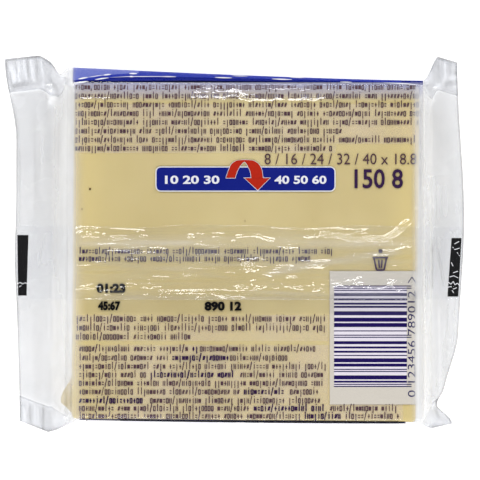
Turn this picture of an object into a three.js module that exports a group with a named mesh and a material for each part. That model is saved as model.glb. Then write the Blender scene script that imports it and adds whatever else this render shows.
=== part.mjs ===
// A sealed pack of eight square cheese slices in clear film, lying on its front panel.
// Millimetres. +X runs along the pack from one end seal to the other, +Y across it, +Z up.
// Each end is pressed flat into a ribbed seal, and its sides are tucked in like a gusset.
// The shut pack is one solid, lofted along X from closed outlines with equal point counts.
import * as THREE from 'three';

// The stack inside
const SLICE_SIDE = 85;
const SLICE_THICKNESS = 2.05;
const SLICE_COUNT = 8;
const WRAPPER_PER_SLICE = 0.12;
const HEADROOM = 0.64;

// The body of the pack round the stack
const STACK_HALF = SLICE_SIDE / 2;
const BODY_LENGTH = SLICE_SIDE + 1.7;
const BODY_HEIGHT = SLICE_COUNT * (SLICE_THICKNESS + WRAPPER_PER_SLICE) + HEADROOM;
const BODY_LEFT = -BODY_LENGTH / 2;
const BODY_RIGHT = BODY_LENGTH / 2;
const EDGE_ROUND = 1.3;
const LOWER_SLIMMING = 0.9;
const SIDE_FLARE = 3.7;
const FLARE_FADE = 1.3;

// The back panel's lapped closing seam, a low band along the pack
const BAND_EDGES = [6.9, -11.7];
const BAND_RISE = 0.3;
const BAND_RAMP = 1.2;
const PANEL_SWELL = 0.18;

// The end seals
const SEAL_HEIGHT = BODY_HEIGHT / 2;
const SEAL_HALF_THICKNESS = 0.42;
const TENT_LEFT = 6;
const TENT_RIGHT = 2.6;
const SEAL_LEFT = 8.7;
const SEAL_RIGHT = 6;
const RIB_RISE = 0.17;
const RIBS_LEFT = 7;
const RIBS_RIGHT = 6;
const TUCK_DEPTH = 8;
const LIP_AT_SEAL = 0.28;
const SEAL_WAVE = 0.7;
const SEAL_WAVE_LENGTH = 58;
const CORNER_CURL = 1.5;

// Flaps of the long folds beside a seal: rise over a width from a start outside the body, then
// a slow fall per mm
const UPPER_LEFT_FLAP = { rise: 3.1, start: 3.6, width: 5.2, fall: 0.14, fallStart: 8.5 };
const UPPER_RIGHT_FLAP = { rise: 6.1, start: 0, width: 4.5, fall: 0.24, fallStart: 4.5 };
const LOWER_LEFT_FLAP = { rise: 3.2, start: -2, width: 9, fall: 0.33, fallStart: 7 };
const LOWER_RIGHT_FLAP = { rise: 1.4, start: -1, width: 3.5, fall: 0.15, fallStart: 2.5 };
const UPPER_DIP = { depth: 1.5, at: BODY_LEFT - 3.6, width: 1.3 };

// How the cut ends wander along y: bells at a place, and steps from a start
const LEFT_TOP_LEAN = { depth: 2.8, start: 28, width: 20 };
const LEFT_BULGE = { depth: 0.4, at: -1.3, width: 8 };
const LEFT_TAPER = { depth: 0.9, start: -5, width: 40 };
const RIGHT_BELLY = { depth: 1.95, at: 9, width: 26 };
const RIGHT_TAPER = { depth: 3.4, start: -20, width: 17 };
const RIGHT_FOOT = { depth: 2.4, start: -38, width: 5 };
const RIGHT_NICK = { depth: 1.6, at: -37.8, width: 2.2 };

// How far the front panel's upper fold shares the back's flare, and the round that goes with it
const FRONT_FLARE = 0.25;
const FLARE_ROUND = 1.1;
const UPPER_SLACK = 0.2;
const APEX_SHIFT = 0.4;
const WAVE_PHASE = 0.6;
const CURL_START = 34;
const CURL_WIDTH = 14;

// How finely the surface is divided
const BODY_STEPS = 12;
const TENT_STEPS = 6;
const ARC_STEPS = 3;
const PANEL_STEPS_OUTSIDE_BAND = 7;
const PANEL_STEPS_IN_BAND = 4;

const lerp = (a, b, t) => a + (b - a) * t;
const clamp = (t) => Math.min(1, Math.max(0, t));
// ease goes smoothly from 0 to 1 while distance grows from 0 to width.
const ease = (distance, width) => {
  const t = clamp(distance / width);
  return t * t * (3 - 2 * t);
};
const bell = (x, { depth, at, width }) => depth * Math.exp(-(((x - at) / width) ** 2));
const stepUp = (y, { depth, start, width }) => depth * ease(y - start, width);
const stepDown = (y, { depth, start, width }) => depth * ease(start - y, width);

// Outlines seen from above

// A flap's height at a distance outside the body
function flap(outside, { rise, start, width, fall, fallStart }) {
  return rise * ease(outside - start, width) - fall * Math.max(0, outside - fallStart);
}

// The fold along the pack's upper side: it stands off the stack at the left, dips beside the
// left seal and spreads into a flap at either end.
function upperEdge(x) {
  const along = clamp((x - BODY_LEFT) / BODY_LENGTH);
  const side = STACK_HALF + SIDE_FLARE * (1 - along) ** FLARE_FADE;
  const flaps = flap(BODY_LEFT - x, UPPER_LEFT_FLAP) + flap(x - BODY_RIGHT, UPPER_RIGHT_FLAP);
  return side - bell(x, UPPER_DIP) + flaps;
}

// The fold along the lower side, tight against the stack, with shallow flaps at the ends.
function lowerEdge(x) {
  const along = clamp((x - BODY_LEFT) / BODY_LENGTH);
  const side = STACK_HALF - LOWER_SLIMMING * (1 - along) ** 2;
  const flaps = flap(BODY_LEFT - x, LOWER_LEFT_FLAP) + flap(x - BODY_RIGHT, LOWER_RIGHT_FLAP);
  return -(side + flaps);
}

// The cut end of the left seal: it leans out at the top corner and in towards the bottom.
function leftCut(y) {
  const lean = stepUp(y, LEFT_TOP_LEAN) + bell(y, LEFT_BULGE) - stepDown(y, LEFT_TAPER);
  return BODY_LEFT - TENT_LEFT - SEAL_LEFT - lean;
}

// The cut end of the right seal: widest above the middle, nicked by a crease near the bottom.
function rightCut(y) {
  const taper = stepDown(y, RIGHT_TAPER) - stepDown(y, RIGHT_FOOT);
  const wander = bell(y, RIGHT_BELLY) - taper - bell(y, RIGHT_NICK);
  return BODY_RIGHT + TENT_RIGHT + SEAL_RIGHT + wander;
}

// Heights

// The back panel is flat on the stack, with the seam band and a slight swell of trapped gas.
function backRelief(x, y) {
  const along = clamp((x - BODY_LEFT) / BODY_LENGTH);
  const across = clamp((y + STACK_HALF) / SLICE_SIDE);
  const swell = PANEL_SWELL * Math.sin(Math.PI * along) * Math.sin(Math.PI * across);
  const [bandTop, bandBottom] = BAND_EDGES;
  const band = ease(bandTop - y, BAND_RAMP) * ease(y - bandBottom, BAND_RAMP);
  return swell + BAND_RISE * band;
}

// A seal is a stiff sheet that waves a little, and its upper corner curls up.
function sealSway(y, outward) {
  const wave = SEAL_WAVE * Math.sin((2 * Math.PI * y) / SEAL_WAVE_LENGTH + WAVE_PHASE);
  return outward * (wave + CORNER_CURL * ease(y - CURL_START, CURL_WIDTH));
}

// Places along y, as shares of the back panel from its upper to its lower edge
function panelShares() {
  const edges = [0, ...BAND_EDGES.map((y) => (STACK_HALF - y) / SLICE_SIDE), 1];
  const steps = [PANEL_STEPS_OUTSIDE_BAND, PANEL_STEPS_IN_BAND, PANEL_STEPS_OUTSIDE_BAND];
  const ramp = BAND_RAMP / SLICE_SIDE;
  const shares = [];
  steps.forEach((count, i) => {
    const inBand = i === 1;
    const start = inBand ? edges[i] + ramp : edges[i];
    const end = inBand ? edges[i + 1] - ramp : edges[i + 1];
    for (let k = 0; k <= count; k += 1) {
      shares.push(lerp(start, end, k / count));
    }
  });
  return shares;
}
const SHARES = panelShares();

// One side of an outline, from the upper fold across a panel to the lower fold. facing is 1 for
// the back panel and -1 for the front panel. The fold is an elliptical round, and below it the
// film runs in to the tuck.
function halfOutline(station, facing) {
  const { upper, lower, middle, tuck, lip, round } = station;
  const level = facing > 0 ? station.top : station.bottom;
  const flareShare = facing > 0 ? 1 : station.frontFlare;
  const upperFold = lerp(station.upperStack, upper, flareShare);
  const upperRound = round + (upperFold - station.upperStack) * station.flareRound;
  const upperLip = lip + (upperFold - station.upperStack) * station.flareRound;
  const foldPoint = (edge, inward, width, drop, angle) => ({
    y: edge + inward * width * (1 - Math.cos(angle)),
    z: level - facing * drop * (1 - Math.sin(angle)),
  });
  const apex = station.upperMiddle - tuck;
  const points = [{ y: apex, z: middle }];
  points.push({ y: lerp(upperFold, apex, 0.5), z: lerp(level - facing * upperLip, middle, 0.5) });
  for (let i = 0; i < ARC_STEPS; i += 1) {
    points.push(foldPoint(upperFold, -1, upperRound, upperLip, ((Math.PI / 2) * i) / ARC_STEPS));
  }
  SHARES.forEach((share) => {
    const y = lerp(upperFold - upperRound, lower + round, share);
    points.push({ y, z: level, panel: true });
  });
  for (let i = ARC_STEPS - 1; i >= 0; i -= 1) {
    points.push(foldPoint(lower, 1, round, lip, ((Math.PI / 2) * i) / ARC_STEPS));
  }
  points.push({ y: lower + tuck / 2, z: lerp(level - facing * lip, middle, 0.5) });
  points.push({ y: lower + tuck, z: middle });
  return points.map((point) => ({ ...point, back: facing > 0 && point.panel === true }));
}

// A closed outline as points in space: over the back panel, then back under the front panel.
function outline(station) {
  const over = halfOutline(station, 1);
  const under = halfOutline(station, -1);
  return [...over, ...under.slice(1, -1).reverse()].map(({ y, z, back }) => {
    const x = station.xAt(y);
    const relief = back ? station.reliefShare * backRelief(x, y) : 0;
    return new THREE.Vector3(x, y, z + relief + sealSway(y, station.outward));
  });
}

// A station in the flat seal. out goes from 0 at the inner line to 1 at the cut end.
function sealStation(inner, cut, out, rib) {
  const middleX = lerp(inner, cut(0), out);
  return {
    xAt: (y) => lerp(inner, cut(y), out),
    upper: upperEdge(middleX),
    upperStack: upperEdge(middleX),
    upperMiddle: upperEdge(middleX),
    lower: lowerEdge(middleX),
    top: SEAL_HEIGHT + SEAL_HALF_THICKNESS + rib,
    bottom: SEAL_HEIGHT - SEAL_HALF_THICKNESS + rib,
    middle: SEAL_HEIGHT + rib,
    tuck: 0,
    lip: LIP_AT_SEAL,
    round: LIP_AT_SEAL,
    frontFlare: 1,
    flareRound: 0,
    reliefShare: 0,
    outward: out,
  };
}

// A station in the body or in the tent between body and seal. fold is 0 at the body and 1 at
// the seal's inner line, and the tuck deepens with it.
function bodyStation(x, fold) {
  const closing = ease(fold, 1);
  const upper = upperEdge(x);
  const upperStack = lerp(STACK_HALF + UPPER_SLACK, upper, closing);
  return {
    xAt: () => x,
    upper,
    upperStack,
    upperMiddle: lerp(upper, upperStack, APEX_SHIFT),
    lower: lowerEdge(x),
    top: lerp(BODY_HEIGHT, SEAL_HEIGHT + SEAL_HALF_THICKNESS, closing),
    bottom: lerp(0, SEAL_HEIGHT - SEAL_HALF_THICKNESS, closing),
    middle: SEAL_HEIGHT,
    tuck: TUCK_DEPTH * fold,
    lip: lerp(EDGE_ROUND, LIP_AT_SEAL, closing),
    round: lerp(EDGE_ROUND, LIP_AT_SEAL, closing),
    frontFlare: FRONT_FLARE,
    flareRound: FLARE_ROUND * (1 - closing),
    reliefShare: 1 - closing,
    outward: 0,
  };
}

// The ribbed rows of one seal, from its inner line outwards. Crests and troughs alternate.
function sealStations(inner, cut, ribs) {
  const rows = 2 * ribs;
  const stations = [];
  for (let i = 1; i <= rows; i += 1) {
    const rib = i === rows ? 0 : RIB_RISE * (i % 2 === 0 ? -1 : 1);
    stations.push(sealStation(inner, cut, i / rows, rib));
  }
  return stations;
}

function allStations() {
  const leftInner = BODY_LEFT - TENT_LEFT;
  const rightInner = BODY_RIGHT + TENT_RIGHT;
  const stations = sealStations(leftInner, leftCut, RIBS_LEFT).reverse();
  for (let i = TENT_STEPS; i > 0; i -= 1) {
    stations.push(bodyStation(lerp(BODY_LEFT, leftInner, i / TENT_STEPS), i / TENT_STEPS));
  }
  for (let i = 0; i <= BODY_STEPS; i += 1) {
    stations.push(bodyStation(lerp(BODY_LEFT, BODY_RIGHT, i / BODY_STEPS), 0));
  }
  for (let i = 1; i <= TENT_STEPS; i += 1) {
    stations.push(bodyStation(lerp(BODY_RIGHT, rightInner, i / TENT_STEPS), i / TENT_STEPS));
  }
  return [...stations, ...sealStations(rightInner, rightCut, RIBS_RIGHT)];
}

// Joins equal outlines into one closed surface. Each cut end is filled by strips between the
// outline's back half and its front half.
function loft(outlines) {
  const count = outlines[0].length;
  const positions = outlines.flatMap((points) => points.flatMap((point) => point.toArray()));
  const indices = [];
  for (let row = 0; row + 1 < outlines.length; row += 1) {
    for (let i = 0; i < count; i += 1) {
      const a = row * count + i;
      const b = row * count + ((i + 1) % count);
      indices.push(a, b, a + count, b, b + count, a + count);
    }
  }
  const fillEnd = (first, turned) => {
    const put = (a, b, c) => indices.push(...(turned ? [a, c, b] : [a, b, c]));
    for (let i = 0; i < count / 2; i += 1) {
      const [over, overNext] = [first + i, first + i + 1];
      const [under, underNext] = [first + ((count - i) % count), first + count - i - 1];
      if (i > 0) put(over, overNext, under);
      if (i + 1 < count / 2) put(overNext, underNext, under);
    }
  };
  fillEnd(0, true);
  fillEnd((outlines.length - 1) * count, false);
  const geometry = new THREE.BufferGeometry();
  geometry.setAttribute('position', new THREE.Float32BufferAttribute(positions, 3));
  geometry.setIndex(indices);
  return geometry;
}

// The origin is the middle of the footprint, on the surface that the pack lies on.
function centreOnFootprint(geometry) {
  geometry.computeBoundingBox();
  const { min, max } = geometry.boundingBox;
  geometry.translate(-(min.x + max.x) / 2, -(min.y + max.y) / 2, -min.z);
  geometry.computeVertexNormals();
  return geometry;
}

function sealedPack() {
  const geometry = centreOnFootprint(loft(allStations().map(outline)));
  const material = new THREE.MeshStandardMaterial({ color: 0xd0c08e, roughness: 0.25, metalness: 0 });
  const mesh = new THREE.Mesh(geometry, material);
  mesh.name = 'sealed_pack';
  return mesh;
}

const group = new THREE.Group();
group.add(sealedPack());

export default group;
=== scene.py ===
# %% [markdown]
# # A shut pack of sliced cheese, seen from its back
#
# The real thing is a stack of eight square slices of processed cheese. Each slice has its own
# thin wrapper, and a printed clear film goes round the stack. The film is closed along the back
# by a flat seam, and at both ends by a ribbed seal whose corners are tucked in.
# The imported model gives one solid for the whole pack. This lesson hides that solid and builds
# the film, the seam, the slices, their wrappers and the ink in its place.

# %% Load the frame
import math

import bmesh
import bpy
import numpy as np
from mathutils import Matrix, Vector


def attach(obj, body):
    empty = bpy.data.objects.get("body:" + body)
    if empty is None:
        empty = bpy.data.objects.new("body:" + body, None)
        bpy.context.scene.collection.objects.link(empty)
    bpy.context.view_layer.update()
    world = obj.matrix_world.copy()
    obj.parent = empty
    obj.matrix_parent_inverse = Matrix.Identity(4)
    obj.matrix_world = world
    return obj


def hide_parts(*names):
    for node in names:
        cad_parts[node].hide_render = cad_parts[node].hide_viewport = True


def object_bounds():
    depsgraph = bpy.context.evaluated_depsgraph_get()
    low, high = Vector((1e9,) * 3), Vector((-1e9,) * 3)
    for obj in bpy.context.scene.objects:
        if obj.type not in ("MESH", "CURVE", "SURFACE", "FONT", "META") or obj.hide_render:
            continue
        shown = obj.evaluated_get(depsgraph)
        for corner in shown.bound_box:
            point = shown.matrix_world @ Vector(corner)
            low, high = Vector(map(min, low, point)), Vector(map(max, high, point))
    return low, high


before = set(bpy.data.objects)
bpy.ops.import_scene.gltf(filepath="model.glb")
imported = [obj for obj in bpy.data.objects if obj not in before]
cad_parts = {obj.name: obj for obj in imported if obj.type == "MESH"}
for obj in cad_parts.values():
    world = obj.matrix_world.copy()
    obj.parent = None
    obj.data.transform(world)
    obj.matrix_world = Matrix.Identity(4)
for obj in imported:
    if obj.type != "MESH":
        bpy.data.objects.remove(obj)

CAD_BOX = [list(corner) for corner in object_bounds()]
MM = 0.001
print("solid box in mm:", [[round(v / MM, 1) for v in corner] for corner in CAD_BOX])

# %% [markdown]
# ## Sizes
#
# All sizes are millimetres in the pack's own coordinates: x along the pack from the middle of
# its body, y across it from the middle of the stack, z up from the table. The outlines are the
# same formulas as the solid's, so every piece lands where the solid is.

# %% Sizes and the curves that the pack is made of
SLICE_SIDE = 85.0
SLICE_THICKNESS = 2.05
SLICE_COUNT = 8
SLICE_STEP = 2.17
STACK_HALF = SLICE_SIDE / 2
BODY_LENGTH = SLICE_SIDE + 1.7
BODY_LEFT, BODY_RIGHT = -BODY_LENGTH / 2, BODY_LENGTH / 2
BODY_TOP = 17.75
FILM_BOTTOM = 0.02
EDGE_ROUND = 1.3
LOWER_SLIMMING, SIDE_FLARE, FLARE_FADE = 0.9, 3.7, 1.3
BAND_TOP, BAND_BOTTOM = 6.9, -11.7
SEAL_Z = 9.0
SEAL_HALF = 0.11
TENT_LEFT, TENT_RIGHT = 6.0, 2.6
SEAL_LEFT, SEAL_RIGHT = 8.7, 6.0
RIBS_LEFT, RIBS_RIGHT, RIB_RISE = 7, 6, 0.03
TUCK_UPPER, TUCK_LOWER = 8.4, 6.4
INNER_LEFT, INNER_RIGHT = BODY_LEFT - TENT_LEFT, BODY_RIGHT + TENT_RIGHT


def clamp(t):
    return np.clip(t, 0.0, 1.0)


def lerp(a, b, t):
    return a + (b - a) * t


def ease(distance, width):
    """Goes smoothly from 0 to 1 while distance goes from 0 to width: 3t^2 - 2t^3."""
    t = clamp(distance / width)
    return t * t * (3 - 2 * t)


def hump(x, centre, width):
    """A bell of height 1 round centre."""
    return np.exp(-(((x - centre) / width) ** 2))


def along(x):
    """0 at the body's left end and 1 at its right end."""
    return clamp((x - BODY_LEFT) / BODY_LENGTH)


# Flaps beside a seal: rise, start outside the body, width, then a fall per mm from a start
UPPER_LEFT_FLAP = (3.1, 3.6, 5.2, 0.14, 8.5)
UPPER_RIGHT_FLAP = (6.1, 0.0, 4.5, 0.24, 4.5)
LOWER_LEFT_FLAP = (3.2, -2.0, 9.0, 0.33, 7.0)
LOWER_RIGHT_FLAP = (1.4, -1.0, 3.5, 0.15, 2.5)
# How the cut ends wander along y: a step as depth, start and width, a bell as depth, place and width
LEFT_TOP_LEAN, LEFT_BULGE, LEFT_TAPER = (2.8, 28.0, 20.0), (0.4, -1.3, 8.0), (0.9, -5.0, 40.0)
RIGHT_BELLY, RIGHT_TAPER = (1.95, 9.0, 26.0), (3.4, -20.0, 17.0)
RIGHT_FOOT, RIGHT_NICK = (2.4, -38.0, 5.0), (1.6, -37.8, 2.2)
# The seal as a sheet: its wave along y, and the curl of its upper corner
SEAL_WAVE, SEAL_WAVE_LENGTH, SEAL_WAVE_PHASE = 0.7, 58.0, 0.6
CURL_RISE, CURL_START, CURL_WIDTH = 1.5, 34.0, 14.0
DIP_DEPTH, DIP_OUT, DIP_WIDTH = 1.5, 3.6, 1.3
FILM_SLACK = 0.35


def flap(outside, rise, start, width, fall, fall_start):
    """A smooth step outside the body, minus a slow fall per mm further out."""
    return rise * ease(outside - start, width) - fall * np.maximum(0, outside - fall_start)


def upper_edge(x):
    """The upper fold from above: stands off at the left, dips beside the seal, flares at the ends."""
    side = STACK_HALF + FILM_SLACK * along(x) + SIDE_FLARE * (1 - along(x)) ** FLARE_FADE
    dip = DIP_DEPTH * hump(x, BODY_LEFT - DIP_OUT, DIP_WIDTH)
    return side - dip + flap(BODY_LEFT - x, *UPPER_LEFT_FLAP) + flap(x - BODY_RIGHT, *UPPER_RIGHT_FLAP)


def lower_edge(x):
    """The lower fold from above, tight on the stack, with shallow flaps at the ends."""
    side = STACK_HALF - LOWER_SLIMMING * (1 - along(x)) ** 2
    return -(side + flap(BODY_LEFT - x, *LOWER_LEFT_FLAP) + flap(x - BODY_RIGHT, *LOWER_RIGHT_FLAP))


def bell(y, depth, place, width):
    return depth * hump(y, place, width)


def step_up(y, depth, start, width):
    return depth * ease(y - start, width)


def step_down(y, depth, start, width):
    return depth * ease(start - y, width)


def left_cut(y):
    """The cut end of the left seal, leaning out at its top corner."""
    lean = step_up(y, *LEFT_TOP_LEAN) + bell(y, *LEFT_BULGE) - step_down(y, *LEFT_TAPER)
    return INNER_LEFT - SEAL_LEFT - lean


def right_cut(y):
    """The cut end of the right seal, widest above the middle and nicked near the bottom."""
    taper = step_down(y, *RIGHT_TAPER) - step_down(y, *RIGHT_FOOT)
    return INNER_RIGHT + SEAL_RIGHT + bell(y, *RIGHT_BELLY) - taper - bell(y, *RIGHT_NICK)


# The solid is centred on its footprint, so the pack's own coordinates are shifted by as much.
SAMPLE_X = np.linspace(INNER_LEFT - SEAL_LEFT, INNER_RIGHT + SEAL_RIGHT, 600)
SAMPLE_Y = np.linspace(-43, 48, 600)
SHIFT_X = CAD_BOX[0][0] / MM - left_cut(SAMPLE_Y).min()
SHIFT_Y = CAD_BOX[1][1] / MM - upper_edge(SAMPLE_X).max()
print(f"pack coordinates shift by {SHIFT_X:.2f}, {SHIFT_Y:.2f} mm")

# %% [markdown]
# ## Places taken from the picture
#
# The picture looks straight down on the pack. One pixel is a quarter of a millimetre on the back
# panel, so a column and a row of the picture give a place on the pack.

# %% From picture columns and rows to millimetres
PIXEL = 0.2483
BODY_COLUMN = 248.5
STACK_ROW = 252.75


def col(column):
    return (np.asarray(column, dtype=float) - BODY_COLUMN) * PIXEL


def row(line):
    return (STACK_ROW - np.asarray(line, dtype=float)) * PIXEL


# %% [markdown]
# ## Height of the film
#
# The film's back is a height over every place of the outline. It is flat on the stack, falls in a
# soft S to the seal and goes on as a ribbed sheet. Real film is never smooth: it has long
# creases where it was pulled and small crumples where layers slide on each other. A crease here
# is a bell-shaped ridge along a short line, and a crumple field is folded random noise.

# %% Noise and creases
LATTICE = 64


def smooth_noise(x, y, cell_x, cell_y, seed):
    """Random values on a lattice of cells, blended smoothly between them, from 0 to 1."""
    table = np.random.default_rng(seed).random((LATTICE, LATTICE))
    u, v = x / cell_x, y / cell_y
    i, j = np.floor(u).astype(int), np.floor(v).astype(int)
    fu, fv = ease(u - i, 1), ease(v - j, 1)
    i, j, i2, j2 = i % LATTICE, j % LATTICE, (i + 1) % LATTICE, (j + 1) % LATTICE
    return lerp(lerp(table[i, j], table[i2, j], fu), lerp(table[i, j2], table[i2, j2], fu), fv)


def crumple(x, y, cell_x, cell_y, seed):
    """Noise folded at its middle, so that it has sharp crests: 1 on a crest, 0 between."""
    bent = x + 2.5 * smooth_noise(x, y, cell_x, cell_x, seed + 50)
    folded = 1 - np.abs(2 * smooth_noise(bent, y, cell_x, cell_y, seed) - 1)
    return ease(folded - 0.35, 0.65)


def crease(x, y, line, width, height, bow=0.0, sway=0.0):
    """A ridge along a line given in picture pixels, bowed or swaying sideways, faded at its ends."""
    x0, y0, x1, y1 = col(line[0]), row(line[1]), col(line[2]), row(line[3])
    length = math.hypot(x1 - x0, y1 - y0)
    dx, dy = (x1 - x0) / length, (y1 - y0) / length
    t = ((x - x0) * dx + (y - y0) * dy) / length
    across = (y - y0) * dx - (x - x0) * dy - bow * np.sin(np.pi * clamp(t))
    if sway:
        across = across - sway * (2 * smooth_noise(t * length, 0 * t, 1.1, 1.0, int(line[0])) - 1)
        height = height * (0.75 + 0.5 * smooth_noise(t * length, 0 * t, 2.3, 1.0, int(line[2])))
    ends = ease(t, 0.12) * ease(1 - t, 0.12)
    return height * hump(across, 0, width) * ends


# Creases seen on the back: a line in the picture, half width, height, bow and sway in mm
BACK_CREASES = (
    ((74, 90, 423, 92), 1.2, 0.16, -0.3),
    ((184, 95, 262, 97), 0.50, 0.18, 0.3, 0.5),
    ((232, 98, 330, 96), 0.50, 0.18, -0.2, 0.5),
    ((76, 101, 120, 99), 0.50, 0.17, 0.1, 0.3),
    ((388, 238, 419, 206), 0.50, 0.34, -0.7, 0.3),
    ((384, 238, 414, 216), 0.42, 0.27, -0.4, 0.3),
    ((76, 300, 152, 300), 0.45, 0.16, 0.0),
    ((84, 190, 92, 150), 1.3, 0.10, 0.3),
    ((150, 208, 330, 214), 2.2, 0.12, 0.8),
    ((300, 120, 410, 128), 2.0, 0.07, 0.4),
)
END_CREASES = (
    ((42, 404, 42, 434), 0.30, 0.45),
    ((33, 408, 35, 428), 0.25, 0.22),
    ((28, 406, 29, 424), 0.25, 0.20),
    ((60, 396, 72, 402), 1.0, 0.35),
    ((6, 94, 32, 86), 0.35, 0.40),
    ((30, 87, 56, 85), 0.35, 0.35),
    ((44, 92, 54, 100), 0.60, 0.60),
    ((47, 99, 50, 88), 0.45, 0.40),
    ((60, 74, 72, 90), 0.60, 0.40),
    ((434, 232, 434, 292), 0.25, 0.25),
    ((437, 238, 446, 290), 0.35, 0.15),
    ((425, 95, 438, 88), 0.40, 0.45),
    ((436, 88, 459, 83), 0.40, 0.40),
    ((436, 404, 446, 398), 0.45, 0.45),
    ((426, 412, 437, 404), 0.45, 0.50),
    ((56, 130, 58, 235), 0.80, 0.20, 0.3),
    ((50, 305, 54, 372), 0.70, 0.22, -0.4),
    ((62, 300, 60, 372), 0.60, 0.25, 0.4),
    ((430, 130, 429, 210), 0.50, 0.20, 0.2),
)


def sum_of(creases, x, y):
    return sum(crease(x, y, *one) for one in creases)


# %% The film's back and front as heights over (x, y)
def closing(x):
    """0 over the body, 1 in the seals, and an S between."""
    return ease(np.maximum((BODY_LEFT - x) / TENT_LEFT, (x - BODY_RIGHT) / TENT_RIGHT), 1)


def outward(x, y):
    """0 on a seal's inner line and 1 on its cut end, for the left and for the right seal."""
    left = clamp((INNER_LEFT - x) / (INNER_LEFT - left_cut(y)))
    right = clamp((x - INNER_RIGHT) / (right_cut(y) - INNER_RIGHT))
    return left, right


def seal_shape(x, y):
    """Ribs along y, and a slow sway whose upper corner curls up."""
    left, right = outward(x, y)
    out = left + right
    left_ribs = np.sin(2 * np.pi * RIBS_LEFT * left)
    right_ribs = np.sin(2 * np.pi * RIBS_RIGHT * right)
    ribs = np.where(left > 0, left_ribs, right_ribs)
    fade = ease(out, 0.1) * ease(1.02 - out, 0.08) * (0.35 + 0.65 * smooth_noise(x, y, 6.0, 14.0, 5))
    wave = SEAL_WAVE * np.sin(2 * np.pi * y / SEAL_WAVE_LENGTH + SEAL_WAVE_PHASE)
    curl = step_up(y, CURL_RISE, CURL_START, CURL_WIDTH)
    return RIB_RISE * ribs * fade + out * (wave + curl)


def back_relief(x, y):
    """Slack of the back panel: a swell, slow waves, and the creases of the picture."""
    swell = 0.10 * np.sin(np.pi * along(x)) * np.sin(np.pi * clamp((y + STACK_HALF) / SLICE_SIDE))
    waves = 0.16 * smooth_noise(x, y, 24.0, 15.0, 1) + 0.05 * crumple(x, y, 16.0, 4.5, 2)
    return swell + waves + sum_of(BACK_CREASES, x, y)


def end_relief(x, y):
    """Slack of the film beside the seals: creases, and crumples that run to the corners."""
    soft = 0.22 * smooth_noise(x, y, 4.2, 11.0, 3) + 0.05 * crumple(x, y, 2.6, 6.5, 4)
    return soft - 0.12 + sum_of(END_CREASES, x, y)


def back_height(x, y):
    """Height of the film's back over any place of the outline."""
    shut = closing(x)
    out = np.maximum(*outward(x, y))
    loose = ease(np.maximum(BODY_LEFT + 1 - x, x - BODY_RIGHT + 1), 3) * (1 - 0.75 * ease(out, 0.3))
    body = lerp(BODY_TOP, SEAL_Z + SEAL_HALF, shut)
    return body + back_relief(x, y) * (1 - shut) + end_relief(x, y) * loose + seal_shape(x, y)


def front_height(x, y):
    """Height of the film's front, flat under the stack and ribbed with the back in the seals."""
    shut = closing(x)
    out = np.maximum(*outward(x, y))
    loose = 1 - 0.75 * ease(out, 0.3)
    body = lerp(FILM_BOTTOM, SEAL_Z - SEAL_HALF, shut)
    return body + end_relief(x, y) * loose * shut + seal_shape(x, y)


# %% The back with its long folds
def fold_round(x):
    """Radius of the upper fold: the slice edge's own, and more where the film stands off."""
    return EDGE_ROUND + np.maximum(upper_edge(x) - STACK_HALF, 0) * (1 - closing(x))


def back_surface(x, y):
    """The back, which falls by a quarter circle at its two long folds."""
    x, y = np.broadcast_arrays(x, y)
    upper_radius = fold_round(x)
    upper_start, lower_start = upper_edge(x) - upper_radius, lower_edge(x) + EDGE_ROUND
    inner = np.clip(y, lower_start, upper_start)
    radius = np.where(y > inner, upper_radius, EDGE_ROUND)
    share = clamp(np.abs(y - inner) / radius)
    return back_height(x, inner) - radius * (1 - np.sqrt(1 - share**2))


# %% [markdown]
# ## Where the film is milky
#
# Over the cheese the film is clear. In the seals and beside them it was heated, stretched and
# crimped, so it is milky and matt there. The lightness of that milk also carries painted
# highlights and painted shade: light and dark lines where the film is folded, lighter milk in the
# tents, a dark line along the cut edge, and a greyer band along the seam's lower edge. Four values
# are worked out for every point of the film and kept in its mesh as attributes: how milky it is,
# how light that milk is, how wrinkled, and how well it mirrors. The material reads them by name.

# %% Milkiness, its lightness, and wrinkles
MILK_CLEAR, MILK_END = 0.005, 0.25
# White haze over the body's two ends: picture column, half width, milk and lightness
END_HAZE = ((74.0, 1.9, 0.20, 0.42), (416.8, 1.0, 0.23, 0.42))
# A greyer band over the cheese along the seam's lower edge, as painted shade: from and to a picture row
SEAM_SHADE_FROM, SEAM_SHADE_TO, SEAM_SHADE_MILK, SEAM_SHADE_TONE = 290.0, 315.0, 0.09, 0.12
# A painted dark line along the seals' cut edge: its half width, added milk and darkening
RIM_LINE, RIM_MILK, RIM_TONE = 0.30, 0.15, 0.35
MILK_LEFT, MILK_RIGHT, MILK_FADE = 69.5, 420.5, 2.3
# TUCK_LINE_TONE paints a highlight along the tucks' inner fold; TUCK_LINE_BOOST makes the painted fold
# lines stronger in the tucks
TUCK_LINE, TUCK_LINE_CLEARER, TUCK_LINE_TONE, TUCK_LINE_BOOST = 0.28, 0.05, 0.45, 1.9
TUCK_DULL = 0.9
# TONE_TENT lightens the milk in the tents: painted light against the shade there
TONE_HIGH, TONE_LOW, TONE_TENT, TONE_TUCK = 0.46, 0.555, 0.08, 0.02
TUCK_CLEARER, DROP_CLEARER = 0.50, 0.65
# Soft patches of another lightness: picture column and row, half width and height, change
TONE_PATCHES = (
    (62, 73, 2.6, 3.5, -0.12), (451, 130, 2.6, 9.0, -0.07), (439, 190, 1.8, 9.0, 0.08),
    (443, 320, 4.0, 9.0, 0.09), (28, 367, 2.6, 7.0, -0.08), (446, 70, 3.0, 3.5, -0.15),
    (35, 413, 2.2, 3.5, -0.12), (60, 408, 2.0, 4.0, -0.14), (430, 411, 1.8, 3.0, -0.12),
)
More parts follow.
